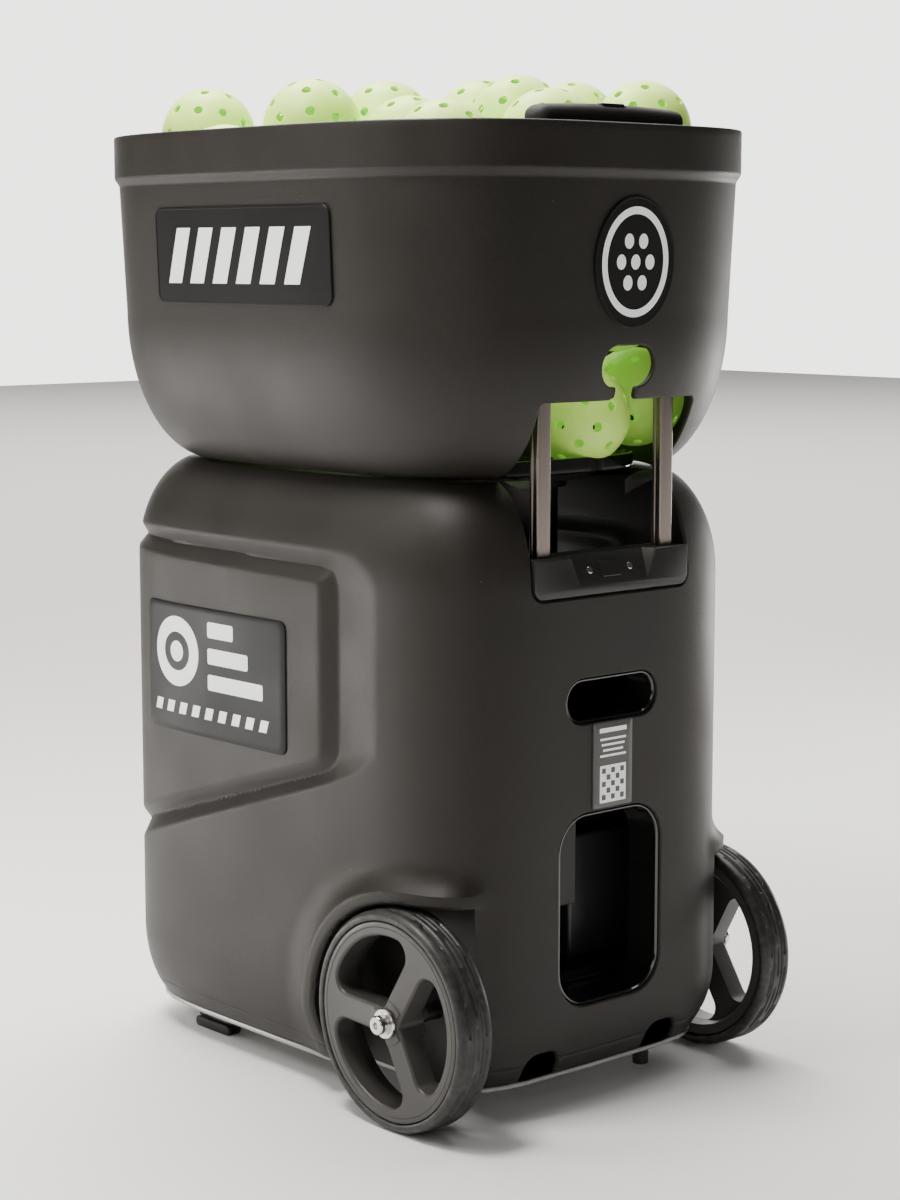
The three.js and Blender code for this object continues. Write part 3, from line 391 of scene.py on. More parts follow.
def smooth_edges(data):
    """Smooth shading that stays crisp at creases."""
    data.polygons.foreach_set("use_smooth", [True] * len(data.polygons))
    data.set_sharp_from_angle(angle=CREASE_ANGLE)


def show(name, data, material):
    """New object in the scene from a mesh in metres."""
    data.materials.append(material)
    made = bpy.data.objects.new(name, data)
    bpy.context.scene.collection.objects.link(made)
    return made


def make_mesh(name, points, faces, material):
    """New object from points in millimetres about the middle of the body."""
    data = bpy.data.meshes.new(name)
    metres = np.asarray(points, float) * MM
    metres[:, 1] += MIDDLE_Y * MM
    data.from_pydata(metres.tolist(), [], faces)
    bm = bmesh.new()
    bm.from_mesh(data)
    bmesh.ops.recalc_face_normals(bm, faces=bm.faces)
    bm.to_mesh(data)
    bm.free()
    smooth_edges(data)
    return show(name, data, material)


def settle(piece):
    """Applies the piece's modifiers to its mesh."""
    graph = bpy.context.evaluated_depsgraph_get()
    data = bpy.data.meshes.new_from_object(piece.evaluated_get(graph))
    piece.modifiers.clear()
    piece.data = data
    smooth_edges(data)


def cut(piece, tools):
    """Cuts closed tools from a closed piece; the tools are used up."""
    for tool in tools:
        change = piece.modifiers.new("cut", "BOOLEAN")
        change.operation = "DIFFERENCE"
        change.solver = "MANIFOLD"
        change.object = tool
    settle(piece)
    for tool in tools:
        bpy.data.objects.remove(tool)
    return piece


def attach(piece, body, slot, *nodes):
    """The piece rides on a body and may stand for CAD nodes, which it hides; slot is not used."""
    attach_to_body(piece, body)
    if nodes:
        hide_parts(*nodes)
    return piece


def skin(name, rings, material, closed=False):
    """Solid through rings of equal length: fans close its ends, or its last ring meets its first."""
    rings = [np.asarray(ring, float) for ring in rings]
    count = len(rings[0])
    points = np.vstack(rings)
    around = np.arange(count)
    following = (around + 1) % count
    faces = []
    pairs = list(zip(range(len(rings) - 1), range(1, len(rings))))
    if closed:
        pairs.append((len(rings) - 1, 0))
    for low, high in pairs:
        quads = np.stack((low * count + around, low * count + following,
                          high * count + following, high * count + around), axis=1)
        faces += quads.tolist()
    if not closed:
        points = np.vstack((points, rings[0].mean(0), rings[-1].mean(0)))
        last = (len(rings) - 1) * count
        first_fan = np.stack((following, around, np.full(count, len(points) - 2)), axis=1)
        last_fan = np.stack((last + around, last + following, np.full(count, len(points) - 1)), axis=1)
        faces += first_fan.tolist() + last_fan.tolist()
    return make_mesh(name, points, faces, material)


def ring_at(outline, axis, level):
    """Puts a flat outline at a level along X (0), Y (1) or Z (2)."""
    return np.insert(np.asarray(outline, float), axis, level, axis=1)


def prism(name, outline, axis, low, high, material=SHELL):
    """Straight solid from a flat outline along one axis."""
    return skin(name, [ring_at(outline, axis, low), ring_at(outline, axis, high)], material)


def turned(name, profile, axis, centre, material, sides=96, closed=True, relief=None):
    """Body of revolution about an axis through a centre from (radius, place on the axis) pairs."""
    turn = np.linspace(0, 2 * math.pi, sides, endpoint=False)
    first, second = [k for k in range(3) if k != axis]
    rings = []
    for radius, place in profile:
        reach = radius + (relief(turn, place) if relief else 0.0)
        ring = np.zeros((sides, 3))
        ring[:, first] = reach * np.cos(turn)
        ring[:, second] = reach * np.sin(turn)
        ring[:, axis] = place
        rings.append(ring + centre)
    return skin(name, rings, material, closed)


def arc_points(centre, radius, start, end, steps):
    """Points on an arc, angles in degrees."""
    angles = np.radians(np.linspace(start, end, steps + 1))
    return np.stack((centre[0] + radius * np.cos(angles), centre[1] + radius * np.sin(angles)), axis=1)


def subdivided(outline, step=4.0):
    """Adds points along long straight stretches of a closed outline."""
    points = []
    for start, end in zip(outline, np.roll(outline, -1, axis=0)):
        pieces = max(1, round(np.linalg.norm(end - start) / step))
        points += [start + (end - start) * k / pieces for k in range(pieces)]
    return np.array(points)


def rounded(half, low, high, radius, middle=0.0, steps=10):
    """Rounded rectangle, anticlockwise in (across, up)."""
    left, right = middle - half + radius, middle + half - radius
    corners = [((right, low + radius), -90), ((right, high - radius), 0),
               ((left, high - radius), 90), ((left, low + radius), 180)]
    return subdivided(np.vstack([arc_points(c, radius, start, start + 90, steps) for c, start in corners]))


def grown(outline, distance):
    """Moves an anticlockwise outline out by a distance along its mitred normals."""
    before = outline - np.roll(outline, 1, axis=0)
    after = np.roll(outline, -1, axis=0) - outline
    normals = []
    for edge in (before, after):
        length = np.maximum(np.linalg.norm(edge, axis=1, keepdims=True), 1e-9)
        normals.append(np.stack((edge[:, 1], -edge[:, 0]), axis=1) / length)
    facing = np.sum(normals[0] * normals[1], axis=1, keepdims=True)
    return outline + distance * (normals[0] + normals[1]) / np.maximum(1 + facing, 0.4)


# ------------------------------------------------------------------ curved walls


def ellipse_inset(fraction, inset):
    """Inset of a quarter-ellipse edge that starts at 0 and turns flat at 1."""
    fraction = np.clip(fraction, 0.0, 0.999)
    return inset * (1 - np.sqrt(1 - fraction**2))


def body_inset(z):
    shoulder = ellipse_inset((z - SHOULDER["start"]) / SHOULDER["height"], SHOULDER["inset"])
    skirt = ellipse_inset((SKIRT["start"] - z) / SKIRT["height"], SKIRT["inset"])
    return shoulder + skirt


def hopper_inset(z):
    """A rim band, nearly straight sides and an elliptical bowl."""
    lip_low, lip_high, proud = 659.5, 667.5, 3.2
    curve_top, curve_inset, floor_inset = 566.0, 7.0, 62.0
    lip = proud * smooth_step((lip_high - z) / (lip_high - lip_low))
    side = (curve_inset - proud) * np.clip((lip_low - z) / (lip_low - curve_top), 0, 1)
    fraction = (curve_top - z) / (curve_top - HOPPER_BOTTOM + 0.6)
    return lip + side + ellipse_inset(fraction, floor_inset - curve_inset)


def smooth_step(t):
    t = np.clip(t, 0.0, 1.0)
    return t * t * (3 - 2 * t)


def wall_points(plan, inset_at, axis, sign, outline, out):
    """Places (across, up) points on the wall that faces along X (0) or Y (1), raised by out."""
    across, up = np.asarray(outline, float).T
    inset = inset_at(up) - out
    a, b = plan["a"] - inset, plan["b"] - inset
    near, far = (b, a) if axis == 0 else (a, b)
    share = np.clip(np.abs(across / near), 0, 1) ** plan["power"]
    reach = sign * far * (1 - share) ** (1 / plan["power"])
    first, second = (reach, across) if axis == 0 else (across, reach)
    return np.stack((first, second, up), axis=1)


class Wall:
    """One face of a rounded-square moulding."""

    def __init__(self, plan, inset_at, axis, sign):
        self.settings = (plan, inset_at, axis, sign)

    def at(self, outline, out=0.0):
        return wall_points(*self.settings, outline, out)


def press(name, wall, outline, steps, material, rings=8):
    """Plate that follows a wall: steps are (grow, out) pairs, and its top is closed by shrinking rings."""
    layers = [wall.at(grown(outline, grow), out) for grow, out in steps]
    grow, out = steps[-1]
    rim = grown(outline, grow)
    middle = rim.mean(0)
    for k in range(1, rings):
        layers.append(wall.at(middle + (rim - middle) * (1 - k / rings), out))
    return skin(name, layers, material)


def band(name, wall, outer, inner, low, high, material):
    """Closed printed band between two outlines on a wall."""
    layers = [wall.at(outer, low), wall.at(outer, high), wall.at(inner, high), wall.at(inner, low)]
    return skin(name, layers, material, closed=True)


def mouth(name, wall, outline, radius, depth):
    """Cutter whose mouth is flared, so the opening that it leaves has a rounded edge."""
    layers = [wall.at(grown(outline, radius), 6.0), wall.at(grown(outline, radius), 0.5)]
    steps = 6
    for k in range(1, steps + 1):
        angle = math.pi / 2 * k / steps
        grow = radius * (1 - math.sin(angle))
        layers.append(wall.at(grown(outline, grow), -radius * (1 - math.cos(angle))))
    layers.append(wall.at(outline, -depth))
    return skin(name, layers, SHELL)


class Flat:
    """A flat face across an axis, with the same use as a Wall."""

    def __init__(self, axis, level, sign=1):
        self.settings = (axis, level, sign)

    def at(self, outline, out=0.0):
        axis, level, sign = self.settings
        return ring_at(outline, axis, level + sign * out)


REAR_BODY = Wall(BODY, body_inset, 1, 1)
FRONT_BODY = Wall(BODY, body_inset, 1, -1)
REAR_HOPPER = Wall(HOPPER, hopper_inset, 1, 1)


# ------------------------------------------------------------------ body moulding


def eased(value, width):
    """Positive part of a value with a soft start."""
    soft = (value + width) ** 2 / (4 * width)
    return np.where(value > width, value, np.where(value < -width, 0.0, soft))


def soft_max(values, softness):
    return softness * np.log(sum(np.exp(value / softness) for value in values))


def plan_curve(plan, spacing):
    """Unit plan directions and place round the plan, spaced by a function of x and y.

    The place is the length along the curve from the middle of the nearer side, positive to the rear."""
    turn = np.linspace(0, 2 * math.pi, 200001)
    power = 2 / plan["power"]
    x = np.sign(np.cos(turn)) * np.abs(np.cos(turn)) ** power
    y = np.sign(np.sin(turn)) * np.abs(np.sin(turn)) ** power
    steps = np.hypot(np.diff(plan["a"] * x), np.diff(plan["b"] * y))
    length = np.concatenate(([0], np.cumsum(steps)))
    weight = steps / spacing(plan["a"] * x[1:], plan["b"] * y[1:])
    progress = np.concatenate(([0], np.cumsum(weight)))
    count = 4 * round(progress[-1] / 4)
    wanted = np.linspace(0, progress[-1], count, endpoint=False)
    unit = np.stack((np.interp(wanted, progress, x), np.interp(wanted, progress, y)), axis=1)
    place = np.interp(wanted, progress, length)
    total = length[-1]
    far_side = np.where(place > 0.25 * total, 0.5 * total - place, place)
    return unit, np.where(place > 0.75 * total, place - total, far_side)


def even(step):
    """Spacing that is the same all round a plan."""
    return lambda x, y: np.full_like(x, step)


def wall_rings(plan, inset_at, heights, spacing, relief=None, extra=0.0):
    """Rings of a moulding at rising heights; relief pushes points out along the plan normal."""
    unit, place = plan_curve(plan, spacing)
    full = unit * (plan["a"], plan["b"])
    slope = np.roll(full, -1, axis=0) - np.roll(full, 1, axis=0)
    normal = np.stack((slope[:, 1], -slope[:, 0]), axis=1)
    normal /= np.linalg.norm(normal, axis=1, keepdims=True)
    rings = []
    for z in heights:
        inset = inset_at(z) + extra
        flat = unit * (plan["a"] - inset, plan["b"] - inset)
        if relief is not None:
            flat = flat + normal * relief(flat, place, z)[:, None]
        rings.append(ring_at(flat, 2, z))
    return rings


def line_distance(place, z, start, end):
    """Signed distance of (place, z) to the right of a line from start to end."""
    along = np.array(end, float) - start
    along /= np.linalg.norm(along)
    return (place - start[0]) * along[1] - (z - start[1]) * along[0]


PANEL_DEPTH = 6.5
CREASE = [(-161, 170), (69, 240), (81, 252), (81, 378), (74, 387), (-132, 391)]
BORDER = [(-162, 156), (108, 244), (125.5, 258), (125.5, 382), (104, 400.5), (-148, 400.5)]


def panel_relief(place, z):
    """Raised panel of the sides and front: a chamfer falls to a crease, and a ramp climbs back."""
    edges = [line_distance(place, z, start, end) for start, end in zip(CREASE, CREASE[1:])]
    edges[2] = edges[2] * 0.6
    inside = soft_max(edges, 1.6)
    outside = soft_max([line_distance(place, z, start, end) for start, end in zip(BORDER, BORDER[1:])], 2.5)
    chamfer = eased(1 + inside / 9.0, 0.22)
    ramp = eased(-outside / np.maximum(inside - outside, 2.0), 0.12)
    depth = -soft_max([-chamfer / 0.05, -ramp / 0.05], 1.0) * 0.05
    return -PANEL_DEPTH * np.clip(depth, 0, 1)


def fender_relief(flat, z):
    """Lip round each wheel arch, flared forward and fading at the foot and at the rear."""
    x, y = np.abs(flat[:, 0]), flat[:, 1]
    forward = np.maximum(ARCH["y"] - y, 0) / ARCH["a"]
    upward = max(z - ARCH["z"], 0) / ARCH["b"]
    ratio = np.maximum(np.hypot(forward, upward), 1e-6)
    distance = (ratio - 1) * ARCH["b"]
    front_share = (forward / ratio) ** 2
    flat_band = 10.0
    climb = np.clip((distance - flat_band) / (24.0 + 12.0 * front_share), 0, 1)
    proud = 11.0 * (1 - climb) ** (2.6 - 0.8 * front_share)
    edge = 3.5
    turn_in = np.clip(edge - distance, 0, edge)
    proud = proud - (edge - np.sqrt(edge**2 - turn_in**2))
    rear_fade = np.where(y > 120, smooth_step((x - 108) / 30), 1.0)
    foot_fade = 0.4 + 0.6 * smooth_step((z - 28) / 45)
    return proud * rear_fade * foot_fade * (y > 0)


def body_relief(flat, place, z):
    seam = -0.7 * math.exp(-(((z - SEAM_Z) / 0.8) ** 2))
    return panel_relief(place, z) + fender_relief(flat, z) + seam


def arch_outline(grow=0.0):
    """Wheel arch in (y, z): a round front and a flat top that runs out to the rear."""
    angles = np.radians(np.linspace(180, 90, 33))
    round_front = np.stack((ARCH["y"] + (ARCH["a"] + grow) * np.cos(angles),
                            ARCH["z"] + (ARCH["b"] + grow) * np.sin(angles)), axis=1)
    top, front = round_front[-1][1], round_front[0][0]
    return np.vstack(([(front, -20.0)], round_front, [(290.0, top), (290.0, -20.0)]))[::-1]


def arch_pocket(side, grow=0.0):
    inner = ARCH["inner"] - grow
    low, high = (inner, 240.0) if side > 0 else (-240.0, -inner)
    return prism("pocket", arch_outline(grow), 0, low, high)


def box_tool(x, y, z):
    outline = np.array([(x[0], y[0]), (x[1], y[0]), (x[1], y[1]), (x[0], y[1])], float)
    return prism("box_tool", outline, 2, *z)


def recess_outline():
    """Handle recess, open at the top."""
    half, low, radius = RECESS["half"], RECESS["floor"], RECESS["corner"]
    corners = [((-half + radius, low + radius), 180), ((half - radius, low + radius), 270)]
    foot = np.vstack([arc_points(c, radius, start, start + 90, 10) for c, start in corners])
    return subdivided(np.vstack((foot, [(half, OVER_RECESS), (-half, OVER_RECESS)])))


def body_shell():
    """Outer skin of the body, with closer rings at the seam and closer points round the corners."""
    def spacing(x, y):
        plain_face = smooth_step((118 - np.abs(x)) / 10)
        return 1.9 + 2.6 * plain_face

    levels = np.arange(BODY_BOTTOM, BODY_TOP + 0.1, 1.85)
    fine = SEAM_Z + np.array([-1.6, -0.8, 0.0, 0.8, 1.6])
    kept = [z for z in levels if abs(z - SEAM_Z) > 2.2]
    heights = np.sort(np.concatenate((kept, fine, [BODY_TOP])))
    return skin("body_moulding", wall_rings(BODY, body_inset, heights, spacing, body_relief), SHELL)


def body_cavity():
    """Room inside the body, clear of the wheel arches and the handle recess."""
    heights = np.linspace(BODY_BOTTOM - 2, BODY_TOP - 5, 90)
    rings = wall_rings(BODY, lambda z: body_inset(z + 3), heights, even(4.5),
                       lambda flat, place, z: panel_relief(place, z), BODY_WALL)
    cavity = skin("cavity", rings, SHELL)
    wall = 3.5
    recess_room = box_tool((-RECESS["half"] - wall, RECESS["half"] + wall),
                           (RECESS["back"] - wall, PAST_REAR), (RECESS["floor"] - wall, OVER_RECESS))
    cut(cavity, [arch_pocket(1, 4.0), arch_pocket(-1, 4.0), recess_room])
    return cavity


def round_hole(radius, axis, centre, low, high):
    return turned("round_hole", [(radius, low), (radius, high)], axis, centre, SHELL, closed=False)


def body_moulding():
    shell = body_shell()
    depth, edge = 22.0, 2.5
    tools = [body_cavity(), arch_pocket(1), arch_pocket(-1)]
    tools.append(mouth("recess", REAR_BODY, recess_outline(), edge, FLARE_DEPTH))
    tools.append(prism("recess_back", recess_outline(), 1, RECESS["back"], PAST_REAR))
    tools.append(mouth("access", REAR_BODY, rounded(**ACCESS), 1.6, depth))
    tools.append(mouth("slot", REAR_BODY, rounded(**SLOT), 1.4, depth))
    tools.append(mouth("exit", FRONT_BODY, rounded(**EXIT), edge, depth))
    for side in SIDES.values():
        middle = side * ROD_X
        well_x = (middle - ROD_WELL["half_x"], middle + ROD_WELL["half_x"])
        well_y = (ROD_Y - ROD_WELL["half_y"], ROD_Y + ROD_WELL["half_y"])
        tools.append(box_tool(well_x, well_y, (ROD_WELL["low"], RECESS["floor"] + 2)))
        tools.append(mouth("notch", REAR_BODY, rounded(**NOTCH, middle=middle), 2.0, 20.0))
    tools.append(round_hole(42.0, 2, (0, CHUTE_Y, 0), *THROUGH_TOP))
    tools.append(round_hole(9.0, 2, (0, 0, 0), *THROUGH_TOP))
    tools.append(round_hole(6.5, 0, (0, WHEEL_Y, WHEEL_Z), -150.0, 150.0))
    cut(shell, tools)
    attach(shell, "chassis", "shell_plastic", "body_shell")


# ------------------------------------------------------------------ hopper moulding


def cutout_outline():
    """Keyhole over a wide cut-out, in (x, z): the right half, then its mirror image."""
    eye_x, eye_z, eye_r = 11.0, 531.5, 14.5
    right = np.vstack((
        [(76.0, 436.0), (76.0, 462.0)],
        arc_points((71.0, 503.0), 5.0, 0, 90, 8),
        arc_points((14.0, 512.0), 4.0, 270, 180, 6),
        arc_points((12.5, 515.0), 2.5, 180, 100, 4),
        arc_points((eye_x, eye_z), eye_r, -84, 90, 20),
    ))
    left = right[::-1] * (-1, 1)
    return subdivided(np.vstack((right, left)))


def hopper_moulding():
    edge, rim_inside = 1.5, 655.0
    heights = np.concatenate((np.linspace(HOPPER_BOTTOM, 470, 14), np.arange(473, rim_inside, 4.0),
                              np.arange(657, 670, 0.8), np.linspace(672, HOPPER_TOP - edge, 6)))
    rings = wall_rings(HOPPER, hopper_inset, heights, even(3.0))
    for angle in np.radians([30, 60, 90]):
        turn_in = edge * (1 - math.cos(angle))
        level = HOPPER_TOP - edge + edge * math.sin(angle)
        rings += wall_rings(HOPPER, lambda z: turn_in, [level], even(3.0))
    shell = skin("hopper_moulding", rings, SHELL)

    def inner_inset(z):
        return hopper_inset(min(z + 1.5, rim_inside) if z < rim_inside else rim_inside)

    inner_heights = np.concatenate(([HOPPER_BOTTOM - 1], np.linspace(454, 480, 12),
                                    np.linspace(486, rim_inside, 24), [700.0]))
    inner_rings = wall_rings(HOPPER, inner_inset, inner_heights, even(5.0), None, HOPPER_WALL)
    opening = mouth("cutout", REAR_HOPPER, cutout_outline(), edge, 46.0)
    through = prism("through", cutout_outline(), 1, 160.0, PAST_REAR)
    cut(shell, [skin("inside", inner_rings, SHELL), opening, through])
    attach(shell, "hopper", "shell_plastic", "hopper_shell")


# ------------------------------------------------------------------ road wheels


def tread_relief(turn, place):
    """Grooves round the tread and rows of long slots between them."""
    across = place - WHEEL_WIDTH / 2
    depth = 0.0
    for groove in (-4.4, 4.4):
        depth = depth + 1.2 * math.exp(-(((across - groove) / 0.7) ** 2))
    slots, half_length, half_width = 15, 12.0, 1.6
    pitch = 2 * math.pi * WHEEL_RADIUS / slots
    for row, shift in ((-7.4, 0.0), (0.0, 0.5), (7.4, 0.0)):
        along = (turn * WHEEL_RADIUS / pitch + shift) % 1.0 * pitch - pitch / 2
        past_end = np.maximum(np.abs(along) - (half_length - half_width), 0)
        edge = half_width - np.hypot(past_end, across - row)
        depth = depth + 0.9 * smooth_step(edge / 0.9)
    return -depth


def tyre(side, name):
    """Tyre with rounded shoulders, grooves and slots, and a lip beside the hub."""
    width, radius = WHEEL_WIDTH, WHEEL_RADIUS
    tall, wide = 4.6, 6.0
    turn_in = np.radians(np.linspace(0, 82, 10))
    corner = [(radius - tall * (1 - math.sin(a)), wide * (1 - math.cos(a))) for a in turn_in]
    tread = [(radius, place) for place in np.arange(wide, width - wide + 0.1, 0.5)]
    lip = [(HUB_RADIUS + grow, place) for grow, place in ((0.2, 6.0), (0.4, 1.2), (1.0, 0.3), (1.8, 0.0))]
    near = lip + corner
    far = [(r, width - place) for r, place in reversed(near)]
    profile = near + tread + far
    start = TYRE_LOW[0]
    placed = [(r, side * (start + place)) for r, place in profile]

    def relief(turn, place):
        across = abs(place) - start
        return tread_relief(turn, across) if wide < across < width - wide else 0.0

    made = turned(f"tyre_{name}_rubber", placed, 0, (0, WHEEL_Y, WHEEL_Z), TYRE, 340, True, relief)
    attach(made, f"road_wheel_{name}", "tyre", f"tyre_{name}")


def hub_window(middle_angle, mirrored):
    """Rounded three-cornered window between two spokes, in (y, z) about the wheel's middle."""
    spoke_half, outer, inner_round, outer_round = 9.4, 61.0, 5.5, 11.0
    inner_x = (spoke_half + inner_round) / math.sin(math.radians(60))
    reach = outer - outer_round
    lean = 60 - math.degrees(math.asin((spoke_half + outer_round) / reach))
    corner = (reach * math.cos(math.radians(lean)), reach * math.sin(math.radians(lean)))
    shape = np.vstack((
        arc_points((inner_x, 0), inner_round, 150, 210, 8),
        arc_points((corner[0], -corner[1]), outer_round, 210, 360 - lean, 12),
        arc_points((0, 0), outer, -lean + 3, lean - 3, 18),
        arc_points(corner, outer_round, lean, 150, 12),
    ))
    turn = math.radians(middle_angle)
    spin = np.array([(math.cos(turn), math.sin(turn)), (-math.sin(turn), math.cos(turn))])
    shape = subdivided(shape @ spin)
    if mirrored:
        shape = (shape * (1, -1))[::-1]
    return shape + (WHEEL_Y, WHEEL_Z)


def hub(side, name):
    """Moulded hub: a bossed web inside a rim, with three windows between its spokes."""
    rim = HUB_RADIUS
    face = WHEEL_WIDTH - 0.6
    profile = [
        (8.3, 6.0), (17.0, 6.0), (17.0, 12.0), (rim - 10, 12.0), (rim - 8, 3.0), (rim - 7, 2.0),
        (rim - 0.8, 2.0), (rim, 2.8), (rim, face - 1.4), (rim - 0.4, face - 0.4),
        (rim - 1.4, face), (rim - 3.4, face),
        (rim - 3.8, face - 0.35), (rim - 4.2, face), (17.5, face), (16.8, face + 0.2), (16.2, face + 0.9),
        (15.4, face + 1.2), (8.3, face + 1.2),
    ]
    start = side * TYRE_LOW[0]
    centre = (0, WHEEL_Y, WHEEL_Z)
    placed = [(r, start + side * place) for r, place in profile]
    made = turned(f"hub_{name}_moulding", placed, 0, centre, HUB, 180)
    front = Flat(0, start + side * face, side)
    shapes = [hub_window(SPOKE_ANGLE + 60 + 120 * k, side < 0) for k in range(3)]
    cut(made, [mouth("window", front, shape, 2.4, 60.0) for shape in shapes])
    attach(made, f"road_wheel_{name}", "satin_plastic", f"wheel_hub_{name}")


def axle_end(side, name):
    """Flat washer, spring washer and socket-head screw on the end of the axle."""
    centre = (0, WHEEL_Y, WHEEL_Z)
    start = TYRE_HIGH[0] + 1.5

    def placed(profile):
        return [(r, side * (start + place)) for r, place in profile]

    washer = [(4.3, 0.0), (10.2, 0.0), (10.5, 0.3), (10.5, 1.6), (10.1, 2.0), (4.3, 2.0)]
    made = turned(f"washer_{name}", placed(washer), 0, centre, BRIGHT, 64)
    attach(made, "chassis", "bright_steel", f"axle_washer_{name}")
    head = [(0.01, -1.0), (3.8, -1.0), (3.8, 2.1), (8.1, 2.1), (8.1, 3.8), (6.2, 3.9), (6.8, 4.2), (6.8, 7.8),
            (6.5, 8.5), (5.8, 9.0), (0.01, 9.0)]
    screw = turned(f"screw_{name}", placed(head), 0, centre, BRIGHT, 64, False)
    hexagon = arc_points((WHEEL_Y, WHEEL_Z), 2.9, 0, 300, 5)
    socket = prism("socket", hexagon, 0, *sorted((side * (start + 5.5), side * (start + 12.0))))
    cut(screw, [socket])
    attach(screw, "chassis", "bright_steel", f"axle_bolt_{name}")


# ------------------------------------------------------------------ tow handle


def edge_round(piece, width):
    """Merges flat facets and rounds the edges that are left."""
    bm = bmesh.new()
    bm.from_mesh(piece.data)
    bmesh.ops.remove_doubles(bm, verts=bm.verts, dist=2e-6)
    bmesh.ops.dissolve_limit(bm, angle_limit=math.radians(0.6), verts=bm.verts, edges=bm.edges)
    bm.to_mesh(piece.data)
    bm.free()
    change = piece.modifiers.new("edges", "BEVEL")
    change.width = width * MM
    change.segments = 2
    change.limit_method = "ANGLE"
    change.angle_limit = math.radians(35)
    change.use_clamp_overlap = True
    settle(piece)


def rod_outline(grow=0.0):
    """Drawn bar section in (x, y): chamfered corners and a shallow channel along each side."""
    quarter = [(6.5, 1.5), (6.5, 3.6), (5.1, 5.0)]
    channel = [(5.8, 1.0)]
    right = [(x, -y) for x, y in reversed(quarter)] + [(x, -y) for x, y in channel] + channel + quarter
    left = [(-x, -y) for x, y in right]
    return grown(np.array(right + left, float), grow)


def rods():
    for name, side in SIDES.items():
        low, high = cad_box(f"handle_rod_{name}")
        rod = prism(f"rod_{name}", rod_outline() + (side * ROD_X, ROD_Y), 2, low[2], high[2] + 4.0, ROD_METAL)
        edge_round(rod, 0.4)
        attach(rod, "handle", "rod_metal", f"handle_rod_{name}")


def grip_rings(middle_y):
    """Rings of the grip along X: a soft square section, crowned, with rounded ends."""
    reach, top = GRIP_HIGH[0], GRIP_HIGH[2]
    half_y, half_z = (GRIP_HIGH[1] - GRIP_LOW[1]) / 2, (top - GRIP_LOW[2]) / 2
    straight, end_length, power = 42, 11, 0.72
    angles = np.linspace(0, 2 * math.pi, 56, endpoint=False)
    round_y = np.sign(np.cos(angles)) * np.abs(np.cos(angles)) ** power
    round_z = np.sign(np.sin(angles)) * np.abs(np.sin(angles)) ** power
    rings = []
    for x in np.concatenate((-reach * np.cos(np.linspace(0, 0.9, 12)), np.linspace(-straight, straight, 15),
                             reach * np.cos(np.linspace(0.9, 0, 12)))):
        end = max(0.0, abs(x) - (reach - end_length)) / end_length
        size = math.sqrt(max(0.02, 1 - end**2.4))
        drop = 1.2 * (x / reach) ** 2
        y = middle_y + half_y * size * round_y
        z = top - half_z - drop + (half_z - drop) * size * round_z
        rings.append(ring_at(np.stack((y, z), axis=1), 0, x))
    return rings


def handle():
    rods()
    middle_y = (GRIP_LOW[1] + GRIP_HIGH[1]) / 2 - MIDDLE_Y
    top = GRIP_HIGH[2]
    bar = skin("grip_bar", grip_rings(middle_y), RUBBER)
    button_y = middle_y + 5.0
    seat = rounded(13.2, button_y - 4.8, button_y + 4.8, 4.6)
    cut(bar, [mouth("button_seat", Flat(2, top), seat, 1.6, 11.5)])
    attach(bar, "handle", "rubber", "grip")
    cap = rounded(12.2, button_y - 3.9, button_y + 3.9, 3.8)
    steps = [(0.0, -6.6), (0.0, -1.2), (-0.3, -0.5), (-0.9, -0.1), (-1.8, 0.0)]
    button = press("grip_button_cap", Flat(2, top + 0.6), cap, steps, GLOSS)
    attach(button, "grip_button", "gloss_plastic", "grip_button")


def hull(name, points):
    """Convex solid round a few points."""
    bm = bmesh.new()
    for x, y, z in points:
        bm.verts.new((x * MM, (y + MIDDLE_Y) * MM, z * MM))
    bmesh.ops.convex_hull(bm, input=bm.verts)
    data = bpy.data.meshes.new(name)
    bm.to_mesh(data)
    bm.free()
    return show(name, data, SHELL)


BEZEL_FACE = 210.5
DIP = {"low_half": 33.0, "high_half": 45.0, "low": 375.5, "high": 402.0, "depth": 11.0, "proud": 1.5}


def bezel_outline():
    """Plate that fills the foot of the handle recess with a small gap, in (x, z)."""
    gap, high = 0.6, 400.0
    half, low, radius = RECESS["half"] - gap, RECESS["floor"] + gap / 2, RECESS["corner"] - gap
    first = arc_points((half - radius, low + radius), radius, -90, 0, 10)
    second = arc_points((-half + radius, low + radius), radius, 180, 270, 10)
    return np.vstack((first, [(half, high), (-half, high)], second))


def bezel():
    """Plate at the foot of the recess, with a slanted dip and rooms for the rods."""
    thickness = BEZEL_FACE - RECESS["back"] - 0.3
    steps = [(0.0, -thickness), (0.0, -2.0), (-0.25, -0.9), (-0.9, -0.25), (-2.0, 0.0)]
    plate = press("bezel_plate", Flat(1, BEZEL_FACE), bezel_outline(), steps, SATIN, rings=2)
    front, back = BEZEL_FACE + DIP["proud"], BEZEL_FACE - DIP["depth"]
    corners = []
    for half, y, z in ((DIP["low_half"], front, DIP["low"]), (DIP["high_half"], front, DIP["high"]),
                       (DIP["high_half"] - 7, back, DIP["high"])):
        corners += [(half, y, z), (-half, y, z)]
    rooms = [prism("rod_room", rod_outline(0.6) + (side * ROD_X, ROD_Y), 2, 360.0, 410.0) for side in (1, -1)]
    cut(plate, [hull("dip", corners), *rooms])
    edge_round(plate, 0.7)
    attach(plate, "chassis", "satin_plastic", "handle_bezel")


